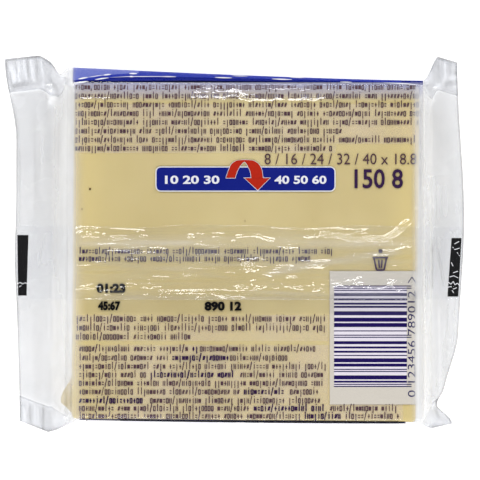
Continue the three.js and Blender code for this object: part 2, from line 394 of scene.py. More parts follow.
# Painted highlights and painted shade on the ends, light and dark lines where the film is folded:
# a line in the picture, half width, change of lightness, bow and sway in mm
END_LIGHT_AND_SHADE_LINES = (
    ((3, 59, 16, 57), 0.25, -0.5), ((16, 57, 41, 55), 0.2, -0.25), ((41, 55, 60, 72), 0.22, -0.35),
    ((45, 60, 57, 73), 0.2, 0.3), ((4, 60, 13, 92), 0.25, -0.3), ((60, 72, 73, 67), 0.25, 0.3),
    ((8, 63, 13, 82), 0.5, 0.55, 0.2, 0.3), ((16, 60, 18, 82), 0.22, 0.6, 0.0, 0.2),
    ((14, 62, 16, 78), 0.18, -0.4), ((22, 58, 25, 80), 0.22, 0.55, 0.0, 0.2),
    ((26, 58, 27, 76), 0.2, -0.35), ((29, 57, 33, 82), 0.28, 0.6, 0.0, 0.2),
    ((35, 58, 36, 80), 0.25, -0.25), ((39, 58, 43, 82), 0.25, 0.25), ((9, 85, 27, 82), 0.5, -0.35),
    ((10, 93, 26, 88), 0.28, 0.8, 0.1, 0.2), ((24, 88, 44, 85), 0.28, 0.6, 0.0, 0.2),
    ((10, 94, 14, 93), 0.3, -1.0), ((13, 95, 24, 93), 0.7, -0.25),
    ((45, 93, 53, 90), 0.3, 0.9, 0.3), ((46, 100, 57, 103), 0.3, 0.8, -0.4),
    ((49, 95, 54, 100), 0.5, 0.7), ((45, 94, 46, 100), 0.3, -0.4),
    ((55, 90, 58, 101), 0.3, -0.3, 0.3), ((48, 77, 57, 90), 0.3, -0.3),
    ((66, 74, 58, 87), 0.3, -0.25), ((60, 76, 66, 90), 0.3, 0.35), ((48, 108, 48, 165), 0.5, -0.08),
    ((58, 104, 57, 200), 0.35, -0.14), ((33, 105, 35, 225), 0.3, -0.12),
    ((41, 110, 40, 200), 0.4, 0.12), ((66, 96, 67, 300), 0.5, 0.06),
    ((12, 98, 18, 140), 0.2, -0.35), ((18, 140, 18, 232), 0.2, -0.3),
    ((50, 165, 60, 170), 0.4, 0.15), ((16, 300, 20, 345), 0.2, -0.25),
    ((28, 300, 30, 400), 0.3, 0.12), ((38, 310, 40, 396), 0.35, -0.1),
    ((52, 300, 53, 380), 0.4, 0.12), ((62, 383, 63, 414), 0.25, 0.5, -0.5),
    ((57, 370, 60, 412), 0.35, 0.25, -0.6), ((42, 404, 42, 434), 0.25, -0.45),
    ((33, 406, 34, 428), 0.22, 0.4), ((28, 406, 29, 426), 0.22, -0.3),
    ((36, 408, 37, 430), 0.2, 0.3), ((22, 408, 24, 426), 0.25, 0.3), ((50, 424, 74, 416), 0.3, 0.3),
    ((441, 57, 458, 61), 0.22, -0.45), ((441, 57, 424, 80), 0.3, -0.3),
    ((446, 60, 447, 80), 0.25, 0.35), ((451, 60, 452, 78), 0.22, -0.25),
    ((440, 62, 440, 80), 0.22, -0.2), ((443, 80, 459, 76), 0.28, 0.7, 0.2),
    ((434, 87, 445, 81), 0.28, 0.7, -0.1), ((444, 83, 459, 80), 0.3, -0.35),
    ((456, 71, 457, 74), 0.25, -1.0), ((427, 90, 431, 96), 0.35, 0.8),
    ((436, 95, 431, 106), 0.28, 0.75, 0.2), ((424, 82, 437, 90), 0.3, -0.3),
    ((421, 100, 421, 200), 0.25, -0.2), ((424, 186, 431, 197), 0.35, 0.6),
    ((430, 200, 436, 208), 0.3, 0.3), ((437, 100, 438, 230), 0.3, -0.1),
    ((446, 100, 448, 230), 0.35, 0.04), ((454, 95, 459, 225), 0.3, 0.08),
    ((434, 238, 434, 292), 0.22, -0.45), ((437, 236, 446, 290), 0.3, -0.2),
    ((430, 240, 430, 300), 0.25, 0.25), ((436, 404, 449, 396), 0.3, -0.45),
    ((425, 413, 437, 404), 0.3, 0.5), ((436, 408, 441, 420), 0.3, -0.3),
    ((428, 420, 452, 426), 0.25, 0.4), ((440, 300, 442, 395), 0.3, 0.15),
    ((450, 300, 447, 380), 0.25, -0.15),
)


def tuck_depth(x, y):
    """How far y lies inside the upper or lower tuck, in mm, and how far the tuck is folded."""
    fold = clamp(np.maximum((BODY_LEFT - x) / TENT_LEFT, (x - BODY_RIGHT) / TENT_RIGHT))
    return y - (upper_edge(x) - TUCK_UPPER * fold), lower_edge(x) + TUCK_LOWER * fold - y, fold


def tucked(x, y):
    """1 where the tuck lies between back and front, so four films lie on each other."""
    upper, lower, fold = tuck_depth(x, y)
    return np.maximum(ease(upper, 0.5), ease(lower, 0.5)) * ease(fold, 0.5)


def tuck_line(x, y, width=TUCK_LINE):
    """1 on the inner fold of either tuck, a bell across it."""
    upper, lower, fold = tuck_depth(x, y)
    return np.maximum(hump(upper, 0.1, width), hump(lower, 0.1, width)) * ease(fold - 0.2, 0.5)


def seam_shade(x, y):
    """1 over the cheese along the seam's lower edge, where shade is painted, fading in slowly and out
    quickly.
    """
    inside = ease(np.minimum(x - BODY_LEFT, BODY_RIGHT - x) - 1, 2)
    return inside * ease(row(SEAM_SHADE_FROM) - y, 2.2) * ease(y - row(SEAM_SHADE_TO), 0.8)


def rim_line(x, y):
    """1 on the outer edge of the flat ends, where light leaves the film: a bell inwards from it.

    It carries a painted dark line along the cut edge.
    """
    inside = np.minimum(upper_edge(x) - y, y - lower_edge(x))
    inside = np.minimum(inside, np.minimum(x - left_cut(y), right_cut(y) - x))
    return hump(inside, 0.05, RIM_LINE) * clamp(4 * closing(x))


def milk(x, y):
    """Share of milk: next to nothing over the cheese and the blue fold, rising beside the seals."""
    left = 1 - ease(x - col(MILK_LEFT), MILK_FADE)
    right = 1 - ease(col(MILK_RIGHT) - x, MILK_FADE)
    blue = ease(y - row(87), 0.6) * ease(x - col(73), 0.4) * ease(col(424.5) - x, 0.4)
    drop = blue + DROP_CLEARER * hump(x, col(69), 2.2) * hump(y, row(399), 4.6)
    share = np.maximum(left, right) * (1 - drop) * (1 - TUCK_CLEARER * tucked(x, y))
    haze = sum(amount * hump(x, col(column), width) for column, width, amount, _ in END_HAZE)
    added = haze - TUCK_LINE_CLEARER * tuck_line(x, y)
    # Painted shade: greyer milk along the seam's lower edge and along the cut edge
    edges = SEAM_SHADE_MILK * seam_shade(x, y) + RIM_MILK * rim_line(x, y)
    return lerp(MILK_CLEAR, MILK_END, share) + added * clamp(1 - drop) + edges


def tone(x, y):
    """Lightness of the milk: darker towards the upper edge, with streaks along y.

    It also carries painted highlights and painted shade: light and dark fold lines, lighter tents,
    a dark line at the cut edge and a greyer band along the seam's lower edge.
    """
    base = lerp(TONE_HIGH, TONE_LOW, ease(row(170) - y, row(170) - row(320)))
    base = base + TONE_TENT * (1 - ease(np.abs(2 * closing(x) - 1) - 0.6, 0.4)) + TONE_TUCK * tucked(x, y)
    fine_streaks = 0.10 * (smooth_noise(x, y, 0.5, 17.0, 91) - 0.5)
    broad_streaks = 0.08 * (smooth_noise(x, y, 2.4, 9.0, 92) - 0.5)
    beside = sum(light * hump(x, col(column), 1.5 * width) for column, width, _, light in END_HAZE)
    beside = beside + 0.17 * hump(x, col(431), 1.7) * (1 - ease(y - row(190), 20))
    beside = beside + sum(
        light * hump(x, col(column), wide) * hump(y, row(line), high)
        for column, line, wide, high, light in TONE_PATCHES
    )
    # Painted highlights and painted shade along the folds, stronger in the tucks
    lines = sum_of(END_LIGHT_AND_SHADE_LINES, x, y) * (1 + (TUCK_LINE_BOOST - 1) * tucked(x, y))
    streaks = fine_streaks + broad_streaks
    lightness = base + streaks + beside + lines + TUCK_LINE_TONE * tuck_line(x, y)
    # Painted shade: darker at the cut edge, greyer along the seam's lower edge
    return lerp(clamp(lightness - RIM_TONE * rim_line(x, y)), SEAM_SHADE_TONE, seam_shade(x, y))


def wrinkle(x, y):
    """Strength of the fine wrinkles: strong over a few patches of the upper lines of print."""
    patch = hump(y, row(93), 1.7) * ease(x - col(180), 6) * ease(col(345) - x, 8)
    left_patch = 0.3 * hump(y, row(101), 0.8) * ease(col(130) - x, 6)
    return 0.10 + 0.65 * patch + left_patch * ease(x - BODY_LEFT, 1)


def shine(x, y, z):
    """How well the film mirrors: least where it is stretched round the long folds and the tucks."""
    upper = ease(y - upper_edge(x) + fold_round(x) + 0.5, 0.5)
    lower = ease(lower_edge(x) + EDGE_ROUND + 0.5 - y, 0.5)
    dull = np.maximum(0.85 * np.maximum(upper, lower) * ease(z - 10, 3), tuck_line(x, y, TUCK_DULL))
    return 1 - dull


# %% [markdown]
# ## From formulas to meshes
#
# Every piece is a grid: a table of points with rows and columns, joined by four-sided faces. The
# helpers below take whole arrays of x, y and z and hand them to Blender in one go. A flat thing,
# such as ink or a strip of film, becomes a closed plate from an upper and a lower height.

# %% Mesh helpers
def grid_quads(rows, cols, wrap=False):
    """Corner numbers of the faces between neighbouring points of a rows x cols table."""
    last = cols if wrap else cols - 1
    i, j = np.meshgrid(np.arange(rows - 1), np.arange(last), indexing="ij")
    right = (j + 1) % cols
    quads = np.stack([i * cols + j, i * cols + right, (i + 1) * cols + right, (i + 1) * cols + j], -1)
    return quads.reshape(-1, 4)


def volume_of(points, faces):
    """Six times the signed volume of closed faces: a fan of triangles from each first corner."""
    total = 0.0
    for part in faces:
        a = points[part[:, 0]]
        for k in range(1, part.shape[1] - 1):
            total += np.einsum("ij,ij->", a, np.cross(points[part[:, k]], points[part[:, k + 1]]))
    return total


def add_piece(name, points, faces, material, slot, smooth=True, fields=None):
    """Makes a mesh object from an N x 3 array in pack mm and a list of face arrays of any size."""
    points = np.asarray(points, dtype=float) + (SHIFT_X, SHIFT_Y, 0.0)
    faces = [np.asarray(part) for part in (faces if isinstance(faces, list) else [faces])]
    if volume_of(points, faces) < 0:
        faces = [part[:, ::-1] for part in faces]
    totals = np.concatenate([np.full(len(part), part.shape[1]) for part in faces])
    corners = np.concatenate([part.ravel() for part in faces])
    mesh = bpy.data.meshes.new(name)
    mesh.vertices.add(len(points))
    mesh.vertices.foreach_set("co", (points * MM).astype(np.float32).ravel())
    mesh.loops.add(len(corners))
    mesh.loops.foreach_set("vertex_index", corners.astype(np.int32))
    mesh.polygons.add(len(totals))
    mesh.polygons.foreach_set("loop_start", np.concatenate([[0], totals.cumsum()[:-1]]).astype(np.int32))
    mesh.polygons.foreach_set("use_smooth", np.full(len(totals), smooth))
    mesh.update(calc_edges=True)
    mesh.validate()
    piece = bpy.data.objects.new(name, mesh)
    bpy.context.scene.collection.objects.link(piece)
    mesh.materials.append(material)
    for label, values in (fields or {}).items():
        store = mesh.attributes.new(label, "FLOAT", "POINT")
        store.data.foreach_set("value", np.asarray(values, dtype=np.float32).ravel())
    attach(piece, "root")
    return piece


def stack_points(x, y, z):
    return np.stack(np.broadcast_arrays(x, y, z), -1).reshape(-1, 3)


def plate(x, y, upper, lower):
    """A closed plate over a table of places: upper and lower faces, and a rim round them."""
    x, y, upper, lower = np.broadcast_arrays(x, y, upper, lower)
    rows, cols = x.shape
    points = np.concatenate([stack_points(x, y, upper), stack_points(x, y, lower)])
    top = grid_quads(rows, cols)
    number = np.arange(rows * cols).reshape(rows, cols)
    rim = np.concatenate([number[0], number[1:, -1], number[-1, -2::-1], number[-2:0:-1, 0]])
    after = np.roll(rim, -1)
    side = np.stack([rim, after, after + rows * cols, rim + rows * cols], -1)
    faces = np.concatenate([top, top[:, ::-1] + rows * cols, side[:, ::-1]])
    return points, faces


def joined(parts):
    """Several (points, faces) of one kind as one."""
    offsets = np.cumsum([0] + [len(points) for points, _ in parts[:-1]])
    points = np.concatenate([points for points, _ in parts])
    return points, np.concatenate([faces + start for (_, faces), start in zip(parts, offsets)])

# %% [markdown]
# ## Finishes
#
# Clear film shows three things at once: what lies behind it, a faint milky haze of its own, and
# bright reflections of the lamps wherever a wrinkle tips towards them. Two mixes do that: a
# Transparent and a diffuse Principled shader by the haze, and over them a Glossy one by Fresnel.
# Haze and fine wrinkles are one node group, because film, seam and wrappers share them.

# %% Shader groups
def new_group(name, inputs, outputs):
    """A shader node group whose inputs are (name, kind, value) and whose outputs are names."""
    tree = bpy.data.node_groups.new(name, "ShaderNodeTree")
    for label, kind, value in inputs:
        made = tree.interface.new_socket(label, in_out="INPUT", socket_type=kind)
        made.default_value = value
    for label in outputs:
        tree.interface.new_socket(label, in_out="OUTPUT", socket_type="NodeSocketFloat")
    return tree, tree.nodes.new("NodeGroupInput"), tree.nodes.new("NodeGroupOutput")


def math_node(tree, operation, first, second, clamped=False):
    node = tree.nodes.new("ShaderNodeMath")
    node.operation = operation
    node.use_clamp = clamped
    for socket, value in zip(node.inputs, (first, second)):
        if isinstance(value, (int, float)):
            socket.default_value = value
        else:
            tree.links.new(value, socket)
    return node.outputs[0]


def noise_node(tree, vector, scale, detail, rough=0.5):
    node = tree.nodes.new("ShaderNodeTexNoise")
    node.inputs["Scale"].default_value = scale
    node.inputs["Detail"].default_value = detail
    node.inputs["Roughness"].default_value = rough
    tree.links.new(vector, node.inputs["Vector"])
    return node.outputs["Fac"]


def stretched(tree, vector, scale):
    node = tree.nodes.new("ShaderNodeMapping")
    node.inputs["Scale"].default_value = scale
    tree.links.new(vector, node.inputs["Vector"])
    return node.outputs["Vector"]


def film_wear_group():
    """Cloudy milkiness, fine wrinkles along the pack, and a gloss that milk makes matt."""
    tree, given, told = new_group(
        "film_wear",
        [("Vector", "NodeSocketVector", (0, 0, 0)), ("Milk", "NodeSocketFloat", 0.01),
         ("Wrinkle", "NodeSocketFloat", 0.1)],
        ["Haze", "Height", "Roughness"],
    )
    vector = given.outputs["Vector"]
    cloudy = noise_node(tree, vector, 60.0, 3.0)
    streaks = noise_node(tree, stretched(tree, vector, (0.3, 1.0, 1.0)), 900.0, 3.0)
    grain = noise_node(tree, vector, 700.0, 2.0)
    haze = math_node(tree, "MULTIPLY", given.outputs["Milk"], math_node(tree, "ADD", cloudy, 0.5))
    both = math_node(tree, "ADD", streaks, math_node(tree, "MULTIPLY", grain, 0.6))
    height = math_node(tree, "MULTIPLY", both, given.outputs["Wrinkle"])
    calm = math_node(tree, "ADD", math_node(tree, "MULTIPLY", cloudy, 0.04), 0.03)
    rough = math_node(tree, "ADD", math_node(tree, "MULTIPLY", haze, 0.9), calm)
    tree.links.new(haze, told.inputs["Haze"])
    tree.links.new(height, told.inputs["Height"])
    tree.links.new(rough, told.inputs["Roughness"])
    return tree


def ink_wear_group():
    """Tiny gaps and weak spots in printed ink, as a shade between 0 and 1."""
    tree, given, told = new_group(
        "ink_wear",
        [("Vector", "NodeSocketVector", (0, 0, 0)), ("Depth", "NodeSocketFloat", 0.15)],
        ["Shade", "Height"],
    )
    speckle = noise_node(tree, given.outputs["Vector"], 2600.0, 2.0)
    patch = noise_node(tree, given.outputs["Vector"], 90.0, 2.0)
    both = math_node(tree, "ADD", speckle, patch)
    shade = math_node(tree, "MULTIPLY", both, given.outputs["Depth"])
    tree.links.new(shade, told.inputs["Shade"])
    tree.links.new(speckle, told.inputs["Height"])
    return tree


FILM_WEAR, INK_WEAR = film_wear_group(), ink_wear_group()


# %% Film, cheese and ink materials
def new_material(name):
    material = bpy.data.materials.new(name)
    material.use_nodes = True
    tree = material.node_tree
    return material, tree, tree.nodes["Principled BSDF"], tree.nodes["Material Output"]


def object_vector(tree):
    return tree.nodes.new("ShaderNodeTexCoord").outputs["Object"]


def placed_group(tree, group, **values):
    node = tree.nodes.new("ShaderNodeGroup")
    node.node_tree = group
    tree.links.new(object_vector(tree), node.inputs["Vector"])
    for label, value in values.items():
        node.inputs[label].default_value = value
    return node


def bump(tree, height, strength, distance):
    node = tree.nodes.new("ShaderNodeBump")
    node.inputs["Strength"].default_value = strength
    node.inputs["Distance"].default_value = distance
    tree.links.new(height, node.inputs["Height"])
    return node.outputs["Normal"]


def mix_shaders(tree, share, first, second):
    node = tree.nodes.new("ShaderNodeMixShader")
    tree.links.new(share, node.inputs[0])
    tree.links.new(first, node.inputs[1])
    tree.links.new(second, node.inputs[2])
    return node.outputs[0]


def gloss_share(tree, normal, faces):
    """Mirrored share of film with n faces: F = 0.04 + 0.96 (1 - cos)^5, then n F / (1 + (n - 1) F).

    Only a surface met from outside mirrors, and light on its way to a lamp passes it in full.
    """
    facing = tree.nodes.new("ShaderNodeLayerWeight")
    facing.inputs["Blend"].default_value = 0.5
    tree.links.new(normal, facing.inputs["Normal"])
    steep = math_node(tree, "POWER", facing.outputs["Facing"], 5.0)
    one = math_node(tree, "ADD", math_node(tree, "MULTIPLY", steep, 0.96), 0.04)
    both = math_node(tree, "ADD", math_node(tree, "MULTIPLY", one, faces - 1.0), 1.0)
    share = math_node(tree, "DIVIDE", math_node(tree, "MULTIPLY", one, faces), both, clamped=True)
    inside = tree.nodes.new("ShaderNodeNewGeometry").outputs["Backfacing"]
    shadow = tree.nodes.new("ShaderNodeLightPath").outputs["Is Shadow Ray"]
    outside = math_node(tree, "SUBTRACT", 1.0, math_node(tree, "MAXIMUM", inside, shadow))
    return math_node(tree, "MULTIPLY", share, outside)


def read_field(tree, name):
    node = tree.nodes.new("ShaderNodeAttribute")
    node.attribute_name = name
    return node.outputs["Fac"]


def mixed_colour(tree, share, first, second):
    node = tree.nodes.new("ShaderNodeMix")
    node.data_type = "RGBA"
    start, end = [socket for socket in node.inputs if socket.type == "RGBA"]
    start.default_value, end.default_value = (*first, 1), (*second, 1)
    tree.links.new(share, node.inputs[0])
    return [socket for socket in node.outputs if socket.type == "RGBA"][0]


MILK_DARK, MILK_WHITE = (0.03, 0.032, 0.038), (0.93, 0.95, 0.995)
FILM_BUMP = 0.00022


def film_material(name, tint, faces, milkiness=None, wrinkles=None):
    """Clear film: tint is what it lets through. Milk and wrinkles are numbers, or the mesh's own."""
    material, tree, milky, out = new_material(name)
    wear = placed_group(tree, FILM_WEAR)
    if milkiness is None:
        tree.links.new(read_field(tree, "milk"), wear.inputs["Milk"])
        lightness = mixed_colour(tree, read_field(tree, "tone"), MILK_DARK, MILK_WHITE)
        tree.links.new(lightness, milky.inputs["Base Color"])
    else:
        wear.inputs["Milk"].default_value = milkiness
        milky.inputs["Base Color"].default_value = (0.84, 0.87, 0.92, 1)
    if wrinkles is None:
        tree.links.new(read_field(tree, "wrinkle"), wear.inputs["Wrinkle"])
    else:
        wear.inputs["Wrinkle"].default_value = wrinkles
    normal = bump(tree, wear.outputs["Height"], 1.0, FILM_BUMP)
    milky.inputs["Roughness"].default_value = 0.6
    milky.inputs["Specular IOR Level"].default_value = 0.0
    clear = tree.nodes.new("ShaderNodeBsdfTransparent")
    clear.inputs["Color"].default_value = (*tint, 1)
    gloss = tree.nodes.new("ShaderNodeBsdfGlossy")
    gloss.inputs["Color"].default_value = (1, 1, 1, 1)
    tree.links.new(wear.outputs["Roughness"], gloss.inputs["Roughness"])
    tree.links.new(normal, gloss.inputs["Normal"])
    body = mix_shaders(tree, wear.outputs["Haze"], clear.outputs[0], milky.outputs[0])
    share = gloss_share(tree, normal, faces)
    if milkiness is None:
        share = math_node(tree, "MULTIPLY", share, read_field(tree, "shine"))
    tree.links.new(mix_shaders(tree, share, body, gloss.outputs[0]), out.inputs["Surface"])
    return material


def ink_material(name, colour, darker, roughness=0.4, depth=0.5):
    """Opaque ink: colour with weak spots that go towards another tone."""
    material, tree, ink, _ = new_material(name)
    wear = placed_group(tree, INK_WEAR, Depth=depth)
    tree.links.new(mixed_colour(tree, wear.outputs["Shade"], colour, darker), ink.inputs["Base Color"])
    tree.links.new(bump(tree, wear.outputs["Height"], 0.15, 0.00003), ink.inputs["Normal"])
    ink.inputs["Roughness"].default_value = roughness
    ink.inputs["Specular IOR Level"].default_value = 0.0
    return material


def veil_material(name, colour, cover, fade=None):
    """Thin ink that lets a share of what is under it show, and may fade between two y in mm."""
    material, tree, ink, out = new_material(name)
    wear = placed_group(tree, INK_WEAR, Depth=0.12)
    ink.inputs["Base Color"].default_value = (*colour, 1)
    ink.inputs["Roughness"].default_value = 0.5
    ink.inputs["Specular IOR Level"].default_value = 0.0
    clear = tree.nodes.new("ShaderNodeBsdfTransparent")
    share = math_node(tree, "SUBTRACT", cover, wear.outputs["Shade"], clamped=True)
    if fade:
        place = tree.nodes.new("ShaderNodeSeparateXYZ")
        tree.links.new(object_vector(tree), place.inputs[0])
        ramp = tree.nodes.new("ShaderNodeMapRange")
        ramp.inputs["From Min"].default_value = (fade[0] + SHIFT_Y) * MM
        ramp.inputs["From Max"].default_value = (fade[1] + SHIFT_Y) * MM
        tree.links.new(place.outputs["Y"], ramp.inputs["Value"])
        share = math_node(tree, "MULTIPLY", share, ramp.outputs[0])
    tree.links.new(mix_shaders(tree, share, clear.outputs[0], ink.outputs[0]), out.inputs["Surface"])
    return material


def cheese_material():
    """Processed cheese: even pale yellow with slow clouds, and a faint grain from the rollers.

    Towards the slices' left and right ends it turns paler by the mesh's rim value: painted light
    against the shade at their edges.
    """
    material, tree, cheese, _ = new_material("cheese")
    vector = object_vector(tree)
    clouds = noise_node(tree, vector, 35.0, 3.0)
    ramp = tree.nodes.new("ShaderNodeValToRGB")
    ramp.color_ramp.elements[0].position, ramp.color_ramp.elements[1].position = 0.3, 0.7
    ramp.color_ramp.elements[0].color = (0.582, 0.470, 0.218, 1)
    ramp.color_ramp.elements[1].color = (0.690, 0.572, 0.290, 1)
    tree.links.new(clouds, ramp.inputs[0])
    # Paler cheese towards the slices' ends: painted light against the shade at their edges
    rim = tree.nodes.new("ShaderNodeMix")
    rim.data_type = "RGBA"
    plain, paler = [socket for socket in rim.inputs if socket.type == "RGBA"]
    paler.default_value = (0.692, 0.560, 0.248, 1)
    tree.links.new(ramp.outputs[0], plain)
    tree.links.new(read_field(tree, "rim"), rim.inputs[0])
    mixed = [socket for socket in rim.outputs if socket.type == "RGBA"][0]
    tree.links.new(mixed, cheese.inputs["Base Color"])
    grain = noise_node(tree, stretched(tree, vector, (1.0, 0.2, 1.0)), 1500.0, 3.0)
    tree.links.new(bump(tree, grain, 0.2, 0.00005), cheese.inputs["Normal"])
    rough = math_node(tree, "ADD", math_node(tree, "MULTIPLY", clouds, 0.2), 0.35)
    tree.links.new(rough, cheese.inputs["Roughness"])
    cheese.inputs["Specular IOR Level"].default_value = 0.12
    cheese.inputs["Subsurface Weight"].default_value = 0.1
    cheese.inputs["Subsurface Radius"].default_value = (0.9, 0.6, 0.25)
    cheese.inputs["Subsurface Scale"].default_value = 0.0015
    return material


FILM = film_material("clear_film", (0.949, 0.952, 0.961), 2.0)
SEAM_FILM = film_material("seam_film", (0.992, 0.994, 0.998), 1.8)
WRAPPER_FILM = film_material("wrapper_film", (0.99, 0.99, 0.99), 0.3, milkiness=0.006, wrinkles=0.1)
CHEESE = cheese_material()
BLUE = ink_material("blue_ink", (0.007, 0.016, 0.235), (0.004, 0.009, 0.16))
RED = ink_material("red_ink", (0.535, 0.025, 0.0085), (0.37, 0.015, 0.005))
WHITE = ink_material("white_ink", (0.86, 0.86, 0.88), (0.66, 0.66, 0.72))
PURPLE = ink_material("purple_ink", (0.118, 0.064, 0.074), (0.06, 0.032, 0.042))
BOLD_PURPLE = ink_material("bold_purple_ink", (0.050, 0.021, 0.070), (0.024, 0.009, 0.042))
BAR_INK = ink_material("bar_code_ink", (0.014, 0.006, 0.100), (0.008, 0.003, 0.065))
BLACK = ink_material("black_ink", (0.008, 0.008, 0.009), (0.004, 0.004, 0.004))
BROWN = ink_material("speck_brown", (0.13, 0.06, 0.03), (0.07, 0.03, 0.015), 0.6)
PALE = veil_material("pale_ink", (0.74, 0.69, 0.605), 0.93)
PALER = ink_material("paler_ink", (0.83, 0.78, 0.84), (0.76, 0.71, 0.78))
PRINT_TONE = veil_material("print_tone_ink", (0.86, 0.78, 0.94), 0.175)
VEIL = veil_material("blue_veil_ink", (0.58, 0.585, 0.79), 0.50, (row(101), row(87)))
EDGE_INK = ink_material("dark_ink", (0.010, 0.009, 0.018), (0.005, 0.004, 0.010))
# Lighter blues for the blue fold: painted reflections of the room and lamps on the dark blue ink
BLUE_PAINTED_REFLECTION = ink_material("blue_painted_reflection_ink", (0.18, 0.21, 0.58), (0.11, 0.14, 0.46))
BLUE_PAINTED_SHEEN = ink_material("blue_painted_sheen_ink", (0.028, 0.048, 0.40), (0.014, 0.026, 0.30))
print(len(bpy.data.materials), "materials")

# %% [markdown]
# ## The film
#
# The film is one closed skin: row after row of outlines round the pack, from the left cut end to
# the right one. An outline goes over the back, down the side, under the front and up again. At
# the ends the sides run inwards between back and front, which is the tuck.

# %% Outlines round the pack
SEAL_ROWS_LEFT, SEAL_ROWS_RIGHT = 42, 34
TENT_ROWS_LEFT, TENT_ROWS_RIGHT, BODY_ROWS = 16, 10, 146
BACK_COLUMNS, FRONT_COLUMNS = 252, 64
ARC_COLUMNS, WALL_COLUMNS = 10, 6
SIDE_COLUMNS = ARC_COLUMNS + WALL_COLUMNS


def row_places():
    """Along the pack: the inner x of each row, and how far out it is in either seal."""
    left_out = np.linspace(1, 0, SEAL_ROWS_LEFT, endpoint=False)
    right_out = np.linspace(1, 0, SEAL_ROWS_RIGHT, endpoint=False)[::-1]
    tent_left = np.linspace(INNER_LEFT, BODY_LEFT, TENT_ROWS_LEFT, endpoint=False)
    body = np.linspace(BODY_LEFT, BODY_RIGHT, BODY_ROWS)
    tent_right = np.linspace(INNER_RIGHT, BODY_RIGHT, TENT_ROWS_RIGHT, endpoint=False)[::-1]
    middle = np.concatenate([tent_left, body, tent_right])
    ends = np.full(len(left_out), INNER_LEFT), np.full(len(right_out), INNER_RIGHT)
    inner = np.concatenate([ends[0], middle, ends[1]])
    out_left = np.concatenate([left_out, 0 * middle, 0 * right_out])
    out_right = np.concatenate([0 * left_out, 0 * middle, right_out])
    return inner[:, None], out_left[:, None], out_right[:, None]


def x_of(places, y):
    """x of each row at each y: straight rows in the body, fanned out to the cut end in a seal."""
    inner, out_left, out_right = places
    return inner + out_left * (left_cut(y) - INNER_LEFT) + out_right * (right_cut(y) - INNER_RIGHT)


def fold_sizes(x, facing):
    """For each x: the two folds from above, the size of their rounds, and the tuck's two apexes."""
    shut = closing(x)
    upper, lower = upper_edge(x), lower_edge(x)
    flare = np.maximum(upper - STACK_HALF, 0) * (1 - shut)
    share = 1.0 if facing > 0 else 0.25
    edge = lerp(EDGE_ROUND, 0.05, shut)
    fold = clamp(np.maximum((BODY_LEFT - x) / TENT_LEFT, (x - BODY_RIGHT) / TENT_RIGHT))
    return {
        "upper": upper - (1 - share) * flare,
        "upper_round": edge + flare * share,
        "upper_apex": upper - 0.5 * flare - TUCK_UPPER * fold,
        "lower": lower,
        "lower_round": edge,
        "lower_apex": lower + TUCK_LOWER * fold,
    }


def film_fields(x, y, z):
    """The four values that the film's material reads at each point."""
    return {"milk": milk(x, y), "tone": tone(x, y), "wrinkle": wrinkle(x, y), "shine": shine(x, y, z)}


def wall_lean(x, z):
    """Slack of the side walls: small waves, and none at the folds and the bottom."""
    held = ease(z - 1.5, 3) * ease(BODY_TOP - 1.5 - z, 3) * (1 - closing(x))
    return 0.35 * (smooth_noise(x, z, 9.0, 5.0, 8) - 0.5) * held


def half_outline(places, facing, panel_columns):
    """Tables of x, y, z from the upper tuck's apex over one panel to the lower tuck's apex."""
    size = fold_sizes(x_of(places, 0.0), facing)
    height = back_height if facing > 0 else front_height
    across = np.linspace(0, 1, panel_columns)[None, :]
    y_start, y_end = size["upper"] - size["upper_round"], size["lower"] + size["lower_round"]
    y_panel = lerp(y_start, y_end, across)
    z_panel = height(x_of(places, y_panel), y_panel)
    angle = np.linspace(0, np.pi / 2, ARC_COLUMNS, endpoint=False)[None, :]
    down = angle[:, ::-1]
    y_up = size["upper"] - size["upper_round"] * (1 - np.cos(angle))
    z_up = z_panel[:, :1] - facing * size["upper_round"] * (1 - np.sin(angle))
    y_down = size["lower"] + size["lower_round"] * (1 - np.cos(down))
    z_down = z_panel[:, -1:] - facing * size["lower_round"] * (1 - np.sin(down))
    walls = []
    for apex, fold_y, fold_z in (("upper_apex", y_up[:, :1], z_up[:, :1]),
                                 ("lower_apex", y_down[:, -1:], z_down[:, -1:])):
        t = np.linspace(0, 1, WALL_COLUMNS, endpoint=False)[None, :]
        apex_y = size[apex]
        apex_z = SEAL_Z + seal_shape(x_of(places, apex_y), apex_y)
        y, z = lerp(apex_y, fold_y, t), lerp(apex_z, fold_z, t)
        lean = wall_lean(x_of(places, y), z)
        walls.append((y + lean * np.sign(y), z))
    y = np.concatenate([walls[0][0], y_up, y_panel, y_down, walls[1][0][:, ::-1]], 1)
    z = np.concatenate([walls[0][1], z_up, z_panel, z_down, walls[1][1][:, ::-1]], 1)
    return x_of(places, y), y, z


# %% The closed film skin
def end_cap(fine, coarse):
    """Faces between a fine and a coarse line of points that start and end together."""
    side = SIDE_COLUMNS
    head = [[fine[k], fine[k + 1], coarse[k + 1], coarse[k]] for k in range(1, side)]
    tail = [[fine[-2 - k], fine[-1 - k], coarse[-1 - k], coarse[-2 - k]] for k in range(1, side)]
    tips = [[fine[0], fine[1], coarse[1]], [fine[-2], fine[-1], coarse[-2]]]
    steps = len(coarse) - 1 - 2 * side
    stops = side + np.round(np.linspace(0, len(fine) - 1 - 2 * side, steps + 1)).astype(int)
    fans = [
        list(fine[stops[k]:stops[k + 1] + 1]) + [coarse[side + k + 1], coarse[side + k]]
        for k in range(steps)
    ]
    sizes = sorted({len(fan) for fan in fans})
    return [np.array(head + tail), np.array(tips)] + [
        np.array([fan for fan in fans if len(fan) == size]) for size in sizes
    ]


